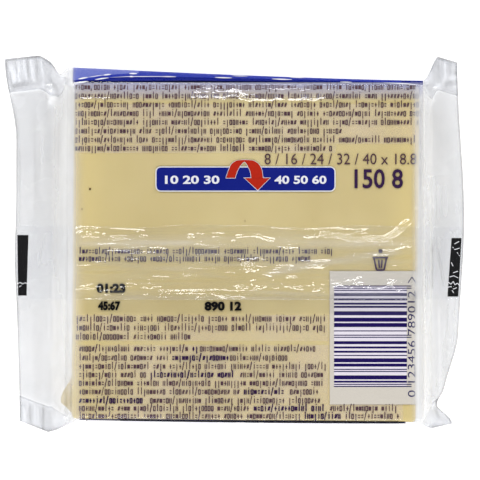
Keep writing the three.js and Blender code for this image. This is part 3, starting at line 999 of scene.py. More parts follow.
def film_skin():
    """Back half and front half joined into closed outlines, and both cut ends filled."""
    places = row_places()
    over, under = half_outline(places, 1, BACK_COLUMNS), half_outline(places, -1, FRONT_COLUMNS)
    x, y, z = (np.concatenate([a, b[:, -2:0:-1]], 1) for a, b in zip(over, under))
    rows, cols = x.shape
    last = over[0].shape[1] - 1
    fine = np.arange(last + 1)
    coarse = np.concatenate([[0], np.arange(cols - 1, last, -1), [last]])
    caps = end_cap(fine, coarse)
    far_caps = [part[:, ::-1] + (rows - 1) * cols for part in caps]
    skin = grid_quads(rows, cols, wrap=True)
    print(f"film: {rows} x {cols} points")
    fields = film_fields(x, y, z)
    all_faces = [skin] + caps + far_caps
    piece = add_piece("film", stack_points(x, y, z), all_faces, FILM, "film", fields=fields)
    return piece, over, under


film, BACK_TABLE, FRONT_TABLE = film_skin()
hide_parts("sealed_pack")

# %% [markdown]
# ## The back seam
#
# Where the film's two edges meet, they are welded into a flat strip that lies on the back. Here
# it is a thin closed strip that follows the back, with a puffed upper fold and many fine
# wrinkles. Its own grid is finer than the film's, because the eye is drawn to its bright streaks.

# %% The strip and its wrinkles
# A crease whose height is about a third of its half width has flanks that mirror a lamp
SEAM_CREASES = (
    ((74, 228, 107, 233), 0.42, 0.15, -0.6, 0.5),
    ((80, 235, 104, 233), 0.40, 0.14, 0.3, 0.5),
    ((76, 232, 98, 230), 0.34, 0.12, 0.3, 0.4),
    ((98, 240, 127, 234), 0.44, 0.16, -0.4, 0.5),
    ((108, 238, 150, 236), 0.36, 0.12, 0.0, 0.6),
    ((184, 237, 212, 234), 0.40, 0.14, 0.2, 0.3),
    ((210, 233, 226, 231), 0.34, 0.12, 0.0, 0.3),
    ((228, 239, 278, 240), 0.44, 0.16, 0.9, 0.3),
    ((290, 236, 345, 236), 0.42, 0.15, 0.3, 0.6),
    ((318, 233, 396, 239), 0.44, 0.16, -0.3, 0.6),
    ((340, 236, 370, 231), 0.36, 0.13, 0.0, 0.4),
    ((330, 243, 398, 241), 0.40, 0.14, 0.4, 0.6),
    ((344, 239, 392, 240), 0.34, 0.12, 0.0, 0.5),
    ((380, 249, 418, 247), 0.42, 0.15, 0.3, 0.5),
    ((392, 236, 419, 210), 0.55, 0.22, -0.4, 0.2),
    ((76, 248, 250, 262), 0.50, 0.08, 0.8, 0.0),
    ((240, 263, 262, 266), 0.34, 0.12, 0.2, 0.4),
    ((236, 269, 262, 270), 0.34, 0.12, 0.0, 0.4),
    ((262, 272, 392, 256), 0.60, 0.12, 0.6, 0.0),
    ((222, 275, 250, 272), 0.34, 0.11, 0.0, 0.4),
    ((262, 276, 276, 279), 0.34, 0.12, 0.0, 0.3),
    ((286, 276, 300, 278), 0.34, 0.12, 0.0, 0.3),
    ((216, 286, 332, 285), 0.38, 0.14, 0.0, 0.8),
    ((238, 288, 258, 280), 0.34, 0.12, 0.0, 0.5),
    ((280, 286, 330, 290), 0.36, 0.13, 0.0, 0.7),
    ((326, 285, 408, 286), 0.42, 0.15, 0.0, 0.8),
    ((340, 280, 362, 276), 0.34, 0.12, 0.0, 0.4),
    ((74, 288, 104, 286), 0.42, 0.15, 0.0, 0.4),
    ((84, 284, 96, 287), 0.32, 0.11, 0.0, 0.4),
    ((150, 292, 250, 296), 0.40, 0.09, 0.3, 0.3),
)
# Milky streaks of the strip: a line in the picture, half width, added milk and bow
SEAM_STREAKS = (
    ((258, 276, 408, 251), 0.9, 0.10, 0.6), ((74, 254, 335, 255), 2.0, 0.05),
    ((150, 268, 420, 262), 0.5, 0.04, 0.4), ((80, 262, 240, 280), 0.5, 0.03, 0.8),
    ((240, 292, 330, 294), 0.5, 0.05), ((80, 297, 330, 299), 0.5, 0.05),
    ((330, 292, 415, 297), 0.5, 0.05), ((74, 244, 200, 243), 0.8, 0.05),
    ((300, 243, 415, 246), 1.0, 0.05),
)
SEAM_GAP, SEAM_THICKNESS = 0.07, 0.09
SEAM_COLUMNS, SEAM_ROWS = 300, 132


def seam_top_edge(x):
    """The strip's upper fold wanders a little, and lies lower beside the seals."""
    return BAND_TOP - 0.3 + 0.9 * (smooth_noise(x, 0 * x, 14.0, 1.0, 21) - 0.5)


def seam_relief(x, y):
    """Puffed upper fold, streaky crumples between it and the weld, and the picture's streaks."""
    puff = 0.08 * hump(y, seam_top_edge(x) - 0.9, 0.8) * (0.4 + 0.6 * smooth_noise(x, y, 6.0, 9.0, 22))
    inside = ease(y - BAND_BOTTOM, 1.0) * ease(seam_top_edge(x) - y, 0.6)
    fine = 0.05 * crumple(x, y, 7.0, 0.9, 23) + 0.05 * crumple(x, y, 11.0, 1.6, 24)
    return puff + inside * (fine + sum_of(SEAM_CREASES, x, y))


def seam_height(x, y):
    """Height of the strip's upper face, thinner at its two edges."""
    flat = 1 - closing(x)
    return back_height(x, y) + SEAM_GAP + SEAM_THICKNESS + seam_relief(x, y) * lerp(0.25, 1.0, flat)


def seam_fields(x, y):
    """Milky streaks over the cheese, next to no milk in the seals, and strong fine wrinkles."""
    body = (1 - closing(x)) * ease(np.minimum(x - BODY_LEFT, BODY_RIGHT - x) + 1, 3)
    streaks = sum_of(SEAM_STREAKS, x, y) + 0.025 * crumple(x, y, 18.0, 0.7, 25)
    patches = 0.25 + 0.9 * ease(smooth_noise(x, y, 9.0, 2.5, 26) - 0.5, 0.4)
    fold = hump(y, row(241), 1.7) * body
    return {
        "milk": 0.005 + streaks * body + 0.038 * fold,
        "tone": 0.72 + 0.26 * fold,
        "wrinkle": lerp(0.1, patches, body) + 0.8 * hump(x, col(457), 2.2) * hump(y, row(286), 1.6),
        "shine": lerp(0.35, 1.0, body),
    }


def back_seam():
    """The strip as a closed plate from cut end to cut end, between its weld and its upper fold."""
    u = np.linspace(0, 1, SEAM_COLUMNS)[:, None]
    v = np.linspace(0, 1, SEAM_ROWS)[None, :]
    x_guess = lerp(BODY_LEFT - 14, BODY_RIGHT + 10, u)
    y = lerp(BAND_BOTTOM, seam_top_edge(x_guess), v)
    x = lerp(left_cut(y) + 0.15, right_cut(y) - 0.15, u)
    points, faces = plate(x, y, seam_height(x, y), back_height(x, y) + SEAM_GAP)
    fields = {name: np.tile(value.ravel(), 2) for name, value in seam_fields(x, y).items()}
    add_piece("back_seam", points, faces, SEAM_FILM, "film", fields=fields)
    print(f"back seam: {len(faces)} faces")


back_seam()

# %% [markdown]
# ## Slices and their wrappers
#
# Processed cheese slices are rolled and cut, so they are square, flat and all alike, with slightly
# rounded corners and edges. They never lie exactly on each other. Each lies in a pouch of very
# thin film whose welded flaps stick out at the left and right.

# %% Slices
SLICE_Y = 83.2
STACK_TURN = math.radians(-0.55)
SLICE_LEFT, SLICE_RIGHT = col(73.0), col(417.8)
CORNER_RADIUS, SLICE_EDGE = 1.0, 0.35
CORNER_STEPS, STRAIGHT_STEPS, EDGE_STEPS = 6, 60, 4
SLICE_SHIFTS = (-0.25, 0.1, -0.2, 0.05, -0.1, -0.2, 0.1, 0.0)
PRESSED_SLICE, PRESSED_OUT = 4, 3.0


def rounded_rectangle(half_x, half_y, radius):
    """Four quarter rounds joined by straight runs, as two arrays."""
    arc = np.linspace(0, np.pi / 2, CORNER_STEPS)
    parts_x, parts_y = [], []
    for turn, (sx, sy) in enumerate(((1, 1), (-1, 1), (-1, -1), (1, -1))):
        angle = arc + turn * np.pi / 2
        x = sx * (half_x - radius) + radius * np.cos(angle)
        y = sy * (half_y - radius) + radius * np.sin(angle)
        nx, ny = ((-1, 1), (-1, -1), (1, -1), (1, 1))[turn]
        end_x = nx * (half_x - radius) + radius * np.cos(angle[-1])
        end_y = ny * (half_y - radius) + radius * np.sin(angle[-1])
        t = np.linspace(0, 1, STRAIGHT_STEPS, endpoint=False)[1:]
        parts_x += [x, lerp(x[-1], end_x, t)]
        parts_y += [y, lerp(y[-1], end_y, t)]
    return np.concatenate(parts_x), np.concatenate(parts_y)


def slab(half_x, half_y, thickness, seed):
    """Rings from the middle of the top over a rounded edge to the middle of the bottom."""
    ring_x, ring_y = rounded_rectangle(half_x, half_y, CORNER_RADIUS)
    inward = np.array([0.04, 0.2, 0.4, 0.6, 0.8, 0.93])[:, None]
    angle = np.linspace(np.pi / 2, -np.pi / 2, 2 * EDGE_STEPS + 1)[:, None]
    inset = SLICE_EDGE * (1 - np.cos(angle))
    scale_x = np.concatenate([inward, 1 - inset / half_x, inward[::-1]])
    scale_y = np.concatenate([inward, 1 - inset / half_y, inward[::-1]])
    flat = np.full(inward.shape, thickness / 2)
    rim = (thickness / 2 - SLICE_EDGE) * np.sign(np.sin(angle)) + SLICE_EDGE * np.sin(angle)
    height = np.concatenate([flat, rim, -flat])
    x, y = scale_x * ring_x, scale_y * ring_y
    z = height + 0.05 * (smooth_noise(x + 90, y + 90, 19.0, 23.0, seed) - 0.5)
    count = len(ring_x)
    caps = np.stack([np.arange(count)[::-1], np.arange(count) + (len(x) - 1) * count])
    return x, y, z, [grid_quads(len(x), count, wrap=True), caps]


def place_slice(number):
    """Middle, height and turn of one slice in the stack, from the lowest up."""
    rng = np.random.default_rng(300 + number)
    off_x, off_y = SLICE_SHIFTS[number], rng.uniform(-0.12, 0.12)
    turn = STACK_TURN + rng.uniform(-0.002, 0.002)
    z = 0.18 + SLICE_THICKNESS / 2 + number * SLICE_STEP
    return (SLICE_LEFT + SLICE_RIGHT) / 2 + off_x, off_y, z, turn


def turned(x, y, place):
    """Turns places round the stack's middle and moves them to a slice's own middle."""
    mid_x, mid_y, _, turn = place
    cosine, sine = math.cos(turn), math.sin(turn)
    return mid_x + x * cosine - y * sine, mid_y + x * sine + y * cosine


def pressed(x, y, number, half_x):
    """One slice bulges out at its left edge in a drop, slowly from above and quickly at its foot."""
    drop = ease(row(374) - y, 7.0) * ease(y - row(416.5), 3.2)
    near_edge = ease(-x - half_x + 6, 6)
    return x - (PRESSED_OUT if number == PRESSED_SLICE else 0.0) * drop * near_edge


def add_slices():
    half_x = (SLICE_RIGHT - SLICE_LEFT) / 2
    for number in range(SLICE_COUNT):
        place = place_slice(number)
        x, y, z, faces = slab(half_x, SLICE_Y / 2, SLICE_THICKNESS, 310 + number)
        x, y = turned(pressed(x, y, number, half_x), y, place)
        # rim: where the cheese gets painted light, towards its left and right ends
        fields = {"rim": ease(np.abs(x) - 31, 10)}
        points = stack_points(x, y, z + place[2])
        add_piece(f"slice_{number + 1}", points, faces, CHEESE, "cheese", fields=fields)
    print(f"slices: {SLICE_COUNT}, each {2 * half_x:.1f} x {SLICE_Y} x {SLICE_THICKNESS} mm")


add_slices()

# %% Wrappers
FLAP_LEFT, FLAP_RIGHT, POUCH_SLACK = 1.9, 1.0, 0.03
POUCH_CLEARANCE, POUCH_FILM = 0.12, 0.03
POUCH_COLUMNS, POUCH_ROWS = 90, 30


def add_wrappers():
    """Each pouch is a plate that is slice-thick in the middle and pinched at its two flaps."""
    half_x = (SLICE_RIGHT - SLICE_LEFT) / 2
    parts = []
    for number in range(SLICE_COUNT):
        place = place_slice(number)
        u = (1 - np.cos(np.pi * np.linspace(0, 1, POUCH_COLUMNS)[:, None])) / 2
        v = (1 - np.cos(np.pi * np.linspace(0, 1, POUCH_ROWS)[None, :])) / 2
        x = lerp(-half_x - FLAP_LEFT, half_x + FLAP_RIGHT, u) + 0 * v
        half_y = SLICE_Y / 2 + 0.08
        y = lerp(-half_y, half_y, v) * (1 - 0.012 * ease(np.abs(x) - half_x, 2.0))
        beyond = np.maximum(-half_x - x, x - half_x)
        rim = np.maximum(beyond - 0.06, np.abs(y) - half_y + 0.05)
        half = lerp(SLICE_THICKNESS / 2 + POUCH_SLACK, 0.03, ease(rim, 0.9 if number else 0.6))
        droop = 0.5 * (smooth_noise(x, y, 3.0, 9.0, 340 + number) - 0.5) * ease(beyond, 1.2)
        px, py = turned(pressed(x, y, number, half_x), y, place)
        middle = place[2] + droop
        low = np.maximum(middle - half, front_height(px, py) + POUCH_CLEARANCE)
        high = np.minimum(middle + half, back_surface(px, py) - POUCH_CLEARANCE)
        parts.append(plate(px, py, np.maximum(high, low + POUCH_FILM), low))
    points, faces = joined(parts)
    add_piece("wrappers", points, faces, WRAPPER_FILM, "film")
    print(f"wrappers: {SLICE_COUNT} pouches, {len(faces)} faces")


add_wrappers()

# %% [markdown]
# ## Print
#
# The film is printed on its inner face, so the ink lies a hair under the film and follows each
# wrinkle. Ink is a closed plate a few hundredths of a millimetre thick. Flat shapes are tables of
# places whose height comes from the film's own formula. Small print is only lines of little
# shapes, ticks, boxes and dashes, with gaps between groups of them.

# %% Ink plates and strokes
INK_DEPTH, INK_THICKNESS = 0.045, 0.02


def under_film(x, y):
    return back_surface(x, y) - INK_DEPTH


def over_film(x, y):
    """For ink that lies on the film, under the seam strip."""
    return back_surface(x, y) + INK_DEPTH


def ink_plate(x, y, height=under_film, lift=0.0):
    x, y = np.broadcast_arrays(x, y)
    top = height(x, y) + lift
    return plate(x, y, top, top - INK_THICKNESS)


def strokes(ends, width, height=under_film, lift=0.0):
    """A closed box for each row of ends (x0, y0, x1, y1), as wide as width, along the film."""
    ends = np.asarray(ends, dtype=float)
    start, stop = ends[:, :2], ends[:, 2:]
    run = stop - start
    run = run / np.maximum(np.linalg.norm(run, axis=1, keepdims=True), 1e-9)
    side = np.stack([-run[:, 1], run[:, 0]], 1) * (np.asarray(width).reshape(-1, 1) / 2)
    flat = np.stack([start - side, stop - side, stop + side, start + side], 1)
    top = height(flat[..., 0], flat[..., 1]) + lift
    upper = np.concatenate([flat, top[..., None]], 2)
    lower = np.concatenate([flat, top[..., None] - INK_THICKNESS], 2)
    points = np.concatenate([upper, lower], 1).reshape(-1, 3)
    box = np.array([[0, 1, 2, 3], [7, 6, 5, 4], [0, 4, 5, 1], [1, 5, 6, 2], [2, 6, 7, 3], [3, 7, 4, 0]])
    faces = (box[None] + 8 * np.arange(len(ends))[:, None, None]).reshape(-1, 4)
    return points, faces


# %% Lines of small shapes
# Shapes of one cell: strokes from (x0, y0) to (x1, y1), where y 0 to 1 is the height of a low one
MARKS = (
    ((0.38, 0.00, 0.38, 1.45),),
    ((0.12, 0.00, 0.12, 1.00), (0.62, 0.00, 0.62, 1.00)),
    (
        (0.10, 0.00, 0.10, 1.00), (0.10, 0.95, 0.66, 0.95),
        (0.66, 1.00, 0.66, 0.00), (0.66, 0.05, 0.10, 0.05),
    ),
    ((0.40, 0.00, 0.40, 1.00), (0.40, 1.25, 0.40, 1.42)),
    ((0.08, 0.25, 0.72, 0.25), (0.08, 0.75, 0.72, 0.75)),
    ((0.38, -0.45, 0.38, 1.00),),
    ((0.10, 0.10, 0.40, 0.95), (0.42, 0.10, 0.72, 0.95)),
    ((0.10, 0.10, 0.10, 0.90), (0.38, 0.10, 0.38, 0.90), (0.66, 0.10, 0.66, 0.90)),
    (
        (0.12, 0.00, 0.12, 1.00), (0.12, 0.95, 0.64, 0.95),
        (0.64, 1.00, 0.64, 0.00), (0.64, 0.05, 0.12, 0.05),
    ),
    ((0.40, 0.05, 0.40, 0.95), (0.08, 0.50, 0.72, 0.50)),
)
MARK_STROKES = 4
MARK_TABLE = np.full((len(MARKS), MARK_STROKES, 4), np.nan)
for number, mark in enumerate(MARKS):
    MARK_TABLE[number, : len(mark)] = mark


def greeked_line(rng, x0, x1, y, mark_width, mark_height, stroke):
    """Random marks side by side from x0 to x1, with a gap after every few and some slashes."""
    count = int(round((x1 - x0) / mark_width))
    kinds = rng.integers(0, len(MARKS), count)
    gaps = np.cumsum(rng.integers(5, 12, count))
    gap_at = gaps[gaps < count]
    cells = MARK_TABLE[kinds].copy()
    cells[gap_at] = np.nan
    slash = gap_at[::3]
    cells[slash, 0] = (0.05, -0.25, 0.6, 1.5)
    left = (x0 + mark_width * np.arange(count))[:, None]
    cells[..., 0] = left + cells[..., 0] * mark_width
    cells[..., 2] = left + cells[..., 2] * mark_width
    cells[..., 1] = y + (cells[..., 1] - 0.5) * mark_height
    cells[..., 3] = y + (cells[..., 3] - 0.5) * mark_height
    ends = cells.reshape(-1, 4)
    ends = ends[~np.isnan(ends[:, 0])]
    weights = np.full(len(ends), stroke) * rng.uniform(0.85, 1.15, len(ends))
    return ends, weights


def print_tone(name, zones):
    """A faint tone of ink between the marks, as plates in picture pixels (left, top, right, bottom)."""
    parts = [
        ink_plate(
            np.linspace(col(left), col(right), 120)[:, None],
            np.linspace(row(top), row(bottom), 30)[None, :], under_film, -0.03,
        )
        for left, top, right, bottom in zones
    ]
    add_piece(name, *joined(parts), PRINT_TONE, "pale_print")


def greeked_block(name, seed, rows, mark_width, mark_height, stroke, material, slot, height=under_film):
    """One piece for a block of lines given as (picture row, first column, last column)."""
    rng = np.random.default_rng(seed)
    lines = [
        greeked_line(rng, float(col(a)), float(col(b)), float(row(line)), mark_width, mark_height, stroke)
        for line, a, b in rows
    ]
    ends = np.concatenate([line for line, _ in lines])
    width = np.concatenate([weight for _, weight in lines])
    points, faces = strokes(ends, width, height)
    add_piece(name, points, faces, material, slot, smooth=False)
    print(f"{name}: {len(ends)} strokes in {len(rows)} lines")


TOP_LINES = (
    (87.3, 74.8, 421), (96.2, 74.8, 421), (104.9, 74.8, 421), (113.7, 74.8, 421),
    (122.4, 74.8, 421), (131.2, 74.8, 341), (140.0, 74.8, 421), (148.6, 74.8, 334),
)
SEAM_LINES = ((251.5, 79, 332), (259.0, 79, 312))
STORE_LINES = ((319.0, 76, 328), (328.0, 76, 328), (337.0, 76, 192))
PLAIN_LINES = (
    (349, 79, 190), (349, 200, 316), (358, 79, 170), (358, 230, 288), (366.6, 79, 326),
    (375, 79, 146), (375, 240, 325), (383.4, 79, 324), (392, 79, 240), (392, 290, 318),
    (400.8, 150, 320), (408.6, 79, 250), (408.6, 330, 401), (416.4, 79, 300), (416.4, 345, 401),
)
BOLD_LINES = (
    (349, 192, 198), (358, 172, 228), (375, 150, 238), (392, 244, 286), (400.8, 79, 148),
    (408.6, 254, 326), (416.4, 304, 340),
)
greeked_block("small_print_top", 41, TOP_LINES, 0.80, 1.22, 0.225, PURPLE, "purple_print")
greeked_block("small_print_seam", 42, SEAM_LINES, 0.80, 1.2, 0.22, BOLD_PURPLE, "purple_print", over_film)
greeked_block("small_print_storage", 43, STORE_LINES, 0.84, 1.25, 0.225, PURPLE, "purple_print")
greeked_block("small_print_lower", 44, PLAIN_LINES, 0.80, 1.22, 0.225, PURPLE, "purple_print")
greeked_block("bold_print_lower", 45, BOLD_LINES, 0.84, 1.22, 0.30, BOLD_PURPLE, "purple_print")
TONE_ZONES = (
    (74.8, 104, 421, 144), (74.8, 144.6, 336, 153), (76, 315, 328.5, 341), (76, 345, 328.5, 404),
    (76, 404.6, 403, 420.2),
)
print_tone("print_tone", TONE_ZONES)

# %% [markdown]
# ## Figures
#
# Plain figures stand where the pack gives its amounts. A text curve in Blender's own font is made
# a mesh, welded, and its flat outline is then bent onto the film by the same height formula.

# %% Figures bent onto the film
def figure_shape(text, bolder=0.0):
    """Points and faces of a flat text solid of any size, its lower left corner at 0, 0."""
    curve = bpy.data.curves.new("figures", "FONT")
    curve.body = text
    curve.size = 1.0
    curve.extrude = 0.01
    curve.offset = bolder
    curve.resolution_u = 3
    holder = bpy.data.objects.new("figures", curve)
    bpy.context.scene.collection.objects.link(holder)
    bpy.context.view_layer.update()
    mesh = bpy.data.meshes.new_from_object(holder)
    solid = bmesh.new()
    solid.from_mesh(mesh)
    bmesh.ops.remove_doubles(solid, verts=solid.verts, dist=1e-5)
    bmesh.ops.triangulate(solid, faces=solid.faces)
    bmesh.ops.recalc_face_normals(solid, faces=solid.faces)
    points = np.array([v.co[:] for v in solid.verts])
    faces = np.array([[v.index for v in face.verts] for face in solid.faces])
    solid.free()
    bpy.data.objects.remove(holder)
    bpy.data.curves.remove(curve)
    bpy.data.meshes.remove(mesh)
    points[:, :2] -= points[:, :2].min(0)
    return points, faces


def figures(text, box, turned_up=False, bolder=0.0, height=under_film):
    """Text stretched to a box of picture pixels (left, top, right, bottom), as points and faces.

    Turned up, it reads from the bottom to the top of the box. bolder moves its outline outwards.
    """
    points, faces = figure_shape(text, bolder)
    share = points[:, :2] / points[:, :2].max(0)
    left, top, right, bottom = col(box[0]), row(box[1]), col(box[2]), row(box[3])
    if turned_up:
        x, y = lerp(right, left, share[:, 1]), lerp(bottom, top, share[:, 0])
    else:
        x, y = lerp(left, right, share[:, 0]), lerp(bottom, top, share[:, 1])
    top_face = points[:, 2] > 0
    z = height(x, y) - np.where(top_face, 0, INK_THICKNESS)
    return np.stack([x, y, z], 1), faces


def add_figures(name, items, material, slot, **options):
    points, faces = joined([figures(text, box, **options) for text, box in items])
    add_piece(name, points, faces, material, slot, smooth=False)
    print(f"{name}: {len(faces)} triangles")


AMOUNTS = (("8 / 16 / 24 / 32 / 40 x 18.8", (264.5, 153.5, 416.5, 164.5)),)
WEIGHT = (("150 8", (354.5, 169.0, 403, 188.5)),)
CODES = (
    ("01:23", (96.5, 283.5, 125.5, 293.0)), ("45:67", (98, 301, 120.5, 310.5)),
    ("890 12", (204.5, 301.5, 241.5, 311.0)),
)
CODE_DIGITS = (("0 123456 789012", (407.8, 291, 415.6, 397)),)
add_figures("amount_figures", AMOUNTS, PURPLE, "purple_print")
add_figures("weight_figures", WEIGHT, BOLD_PURPLE, "purple_print", bolder=0.018)
add_figures("date_codes", CODES, BLACK, "black_print", bolder=0.055, height=over_film)
add_figures("bar_code_figures", CODE_DIGITS, BAR_INK, "purple_print", turned_up=True)

# %% [markdown]
# ## Bar code
#
# A bar code is a row of bars whose widths are whole numbers of one module, on a pale ground.
# These widths are drawn at random, so the code means nothing.

# %% Bar code
MODULES = 95
CODE_TOP, CODE_BOTTOM, CODE_LEFT, CODE_RIGHT, GUARD_RIGHT = 285.5, 387.0, 334.0, 407.0, 411.5
GUARDS = (0, 2, 46, 48, 92, 94)


def bar_widths():
    """First module and width of each bar: guards at both ends and in the middle, bars between."""
    rng = np.random.default_rng(61)
    bars = [(guard, 1) for guard in GUARDS]
    for first, last in ((3, 45), (50, 92)):
        place = first + int(rng.integers(1, 3))
        while place < last - 1:
            width = int(rng.choice([1, 1, 1, 2, 2, 3, 4]))
            width = min(width, last - 1 - place)
            bars.append((place, width))
            place += width + int(rng.choice([1, 1, 2, 2, 3]))
    return np.array(bars)


def bar_code():
    bars = bar_widths()
    module = (row(CODE_TOP) - row(CODE_BOTTOM)) / MODULES
    middle = row(CODE_TOP) - (bars[:, 0] + bars[:, 1] / 2) * module
    right = np.where(np.isin(bars[:, 0], GUARDS) & (bars[:, 1] == 1), GUARD_RIGHT, CODE_RIGHT)
    pieces = []
    stops = np.linspace(0, 1, 25)
    for a, b in zip(stops[:-1], stops[1:]):
        x0, x1 = lerp(col(CODE_LEFT), col(right), a), lerp(col(CODE_LEFT), col(right), b)
        ends = np.stack([x0, middle, x1, middle], 1)
        pieces.append(strokes(ends, bars[:, 1] * module * 0.94))
    points, faces = joined(pieces)
    add_piece("bar_code", points, faces, BAR_INK, "purple_print", smooth=False)
    print(f"bar code: {len(bars)} bars")


def flat_panel(name, box, material, slot, height=under_film, lift=-0.03, steps=(40, 40)):
    """A rectangle of ink in picture pixels (left, top, right, bottom)."""
    x = np.linspace(col(box[0]), col(box[2]), steps[0])[:, None]
    y = np.linspace(row(box[1]), row(box[3]), steps[1])[None, :]
    points, faces = ink_plate(x, y, height, lift)
    return add_piece(name, points, faces, material, slot)


bar_code()
flat_panel("bar_code_ground", (329.6, 271, 417, 404.5), PALE, "pale_print", steps=(120, 160))
flat_panel("bar_code_light", (334, 286.5, 406.8, 386), PALER, "pale_print", lift=-0.022, steps=(100, 130))
chevron = np.array([
    (col(408), row(283), col(412), row(277.0)), (col(412), row(277.0), col(416), row(283)),
])
add_piece("bar_code_arrow", *strokes(chevron, 0.22), BAR_INK, "purple_print", smooth=False)

# %% [markdown]
# ## Colour fields
#
# A dark blue bar with rounded ends carries two groups of white figures, and a red arrow arches
# from one group to the other. The bar is a table whose rows shorten at the ends by a quarter
# circle. The arrow is a ribbon along an arch, with a straight-sided head.

# %% Blue bar and its figures
BAR_BOX, BAR_CORNER, OUTLINE = (156.5, 167.5, 334.5, 190.6), 1.1, 0.28


def rounded_bar(box, grow, lift):
    """Half height at x: full in the middle, and falling by a quarter circle at both ends."""
    left, right = col(box[0]) - grow, col(box[2]) + grow
    low, high = row(box[3]) - grow, row(box[1]) + grow
    corner = BAR_CORNER + grow
    arc = corner * (1 - np.cos(np.linspace(0, np.pi / 2, 8)))
    straight = np.linspace(left + corner, right - corner, 150)[1:-1]
    x = np.concatenate([left + arc, straight, (right - arc)[::-1]])
    near = np.minimum(np.minimum(x - left, right - x), corner)
    cut = corner - np.sqrt(np.maximum(corner**2 - (corner - near) ** 2, 0))
    half = (high - low) / 2 - cut
    v = np.linspace(-1, 1, 22)[None, :]
    return ink_plate(x[:, None], (low + high) / 2 + half[:, None] * v, under_film, lift)


add_piece("bar_outline", *rounded_bar(BAR_BOX, OUTLINE, -0.035), WHITE, "pale_print")
add_piece("blue_bar", *rounded_bar(BAR_BOX, 0.0, -0.012), BLUE, "blue_print")


def over_bar(x, y):
    return under_film(x, y) + 0.012


BAR_FIGURES = (
    ("10 20 30", (165, 175.5, 219.5, 184)), ("40 50 60", (274.5, 175.5, 326.5, 184)),
)
add_figures("bar_figures", BAR_FIGURES, WHITE, "pale_print", bolder=0.03, height=over_bar)


# %% The arched arrow
ARCH_STEPS = 48
ARCH_OUTSIDE = ((226, 178), (228.5, 170), (231.5, 163.5), (237, 160.3), (245, 159.8), (253.5, 160.3),
                (259, 164), (262, 170), (263, 178.3))
ARCH_INSIDE = ((235, 178), (237.5, 170.4), (240.5, 165.3), (243.2, 162.4), (244.6, 161.6), (246.2, 163.2),
               (248.2, 166.5), (250.5, 172), (251.4, 178.3))
HEAD = ((244.3, 178.0), (270.0, 178.0), (257.8, 190.2))


def smoothed(places):
    """A line through places of the picture, resampled and averaged with its neighbours."""
    places = np.array(places, dtype=float)
    t = np.linspace(0, len(places) - 1, ARCH_STEPS)
    both = np.stack([np.interp(t, np.arange(len(places)), places[:, k]) for k in (0, 1)])
    for _ in range(3):
        both[:, 1:-1] = (both[:, :-2] + 2 * both[:, 1:-1] + both[:, 2:]) / 4
    return col(both[0]), row(both[1])


def arrow(grow, lift):
    """Arch between an outer and an inner line, and a head that narrows from its barbs to its tip."""
    (outer_x, outer_y), (inner_x, inner_y) = smoothed(ARCH_OUTSIDE), smoothed(ARCH_INSIDE)
    run_x, run_y = outer_x - inner_x, outer_y - inner_y
    length = np.hypot(run_x, run_y)
    run_x, run_y = run_x / length * grow, run_y / length * grow
    v = np.linspace(0, 1, 8)[None, :]
    x = lerp((inner_x - run_x)[:, None], (outer_x + run_x)[:, None], v)
    y = lerp((inner_y - run_y)[:, None], (outer_y + run_y)[:, None], v)
    y[0] -= grow
    arch = ink_plate(x, y, under_film, lift)
    t = np.linspace(0, 1, 12)[:, None]
    left, right = col(HEAD[0][0]) - 2.2 * grow, col(HEAD[1][0]) + 2.2 * grow
    top, bottom, tip_x = row(HEAD[0][1]) + grow, row(HEAD[2][1]) - 1.4 * grow, col(HEAD[2][0])
    x = lerp(lerp(left, tip_x, t), lerp(right, tip_x, t), np.linspace(0, 1, 10)[None, :])
    head = ink_plate(lerp(tip_x, x, 0.995), lerp(top, bottom, t), under_film, lift + 0.003)
    return joined([arch, head])


add_piece("arrow_outline", *arrow(0.12, 0.016), WHITE, "pale_print")
add_piece("red_arrow", *arrow(0.0, 0.028), RED, "red_print")

# %% [markdown]
# ## Blue along one edge
#
# The film's front print wraps round one long side and shows as a blue edge on the back. It has
# the same rows as the film and runs along the film's own outline, so it bends round the fold
# exactly as the film does. Over the dark blue ink lie a mid blue and a pale blue layer and thin
# white bands: painted reflections and painted highlights of the rounded fold.

# %% Print that wraps round a fold
# The print starts two rows before the body, where the film still lies flat
EXTRA_ROWS = 2
BODY_FIRST = SEAL_ROWS_LEFT + TENT_ROWS_LEFT - EXTRA_ROWS
BODY_LAST = BODY_FIRST + BODY_ROWS + EXTRA_ROWS


def wrapped_layer(table, first_column, last_column, count, depth):
    """Part of an outline table between two column numbers, moved inwards by a depth."""
    x, y, z = (part[BODY_FIRST:BODY_LAST] for part in table)
    share = np.linspace(0, 1, count)[None, :]
    first, last = (np.asarray(v, dtype=float).reshape(-1, 1) for v in (first_column, last_column))
    at = np.broadcast_to(lerp(first, last, share), (len(x), count))
    low = np.clip(np.floor(at).astype(int), 0, x.shape[1] - 2)
    part = at - low

    def between(values):
        here, there = (np.take_along_axis(values, index, 1) for index in (low, low + 1))
        return lerp(here, there, part)

    x, y, z = between(x), between(y), between(z)
    dy, dz = np.gradient(y, axis=1), np.gradient(z, axis=1)
    length = np.hypot(dy, dz)
    return x, y + dz / length * depth, z - dy / length * depth


def closed_between(outer, inner):
    """A closed plate between two tables of points of one size."""
    rows, cols = outer[0].shape
    _, faces = plate(outer[0], outer[1], outer[2], inner[2])
    return np.concatenate([stack_points(*outer), stack_points(*inner)]), faces


def column_at(y_limit, size):
    """Column of the upper fold's round at which the outline reaches y_limit, from its circle."""
    drop = clamp(1 - (size["upper"] - y_limit) / size["upper_round"])
    return WALL_COLUMNS + ARC_COLUMNS * np.arccos(drop) / (np.pi / 2)


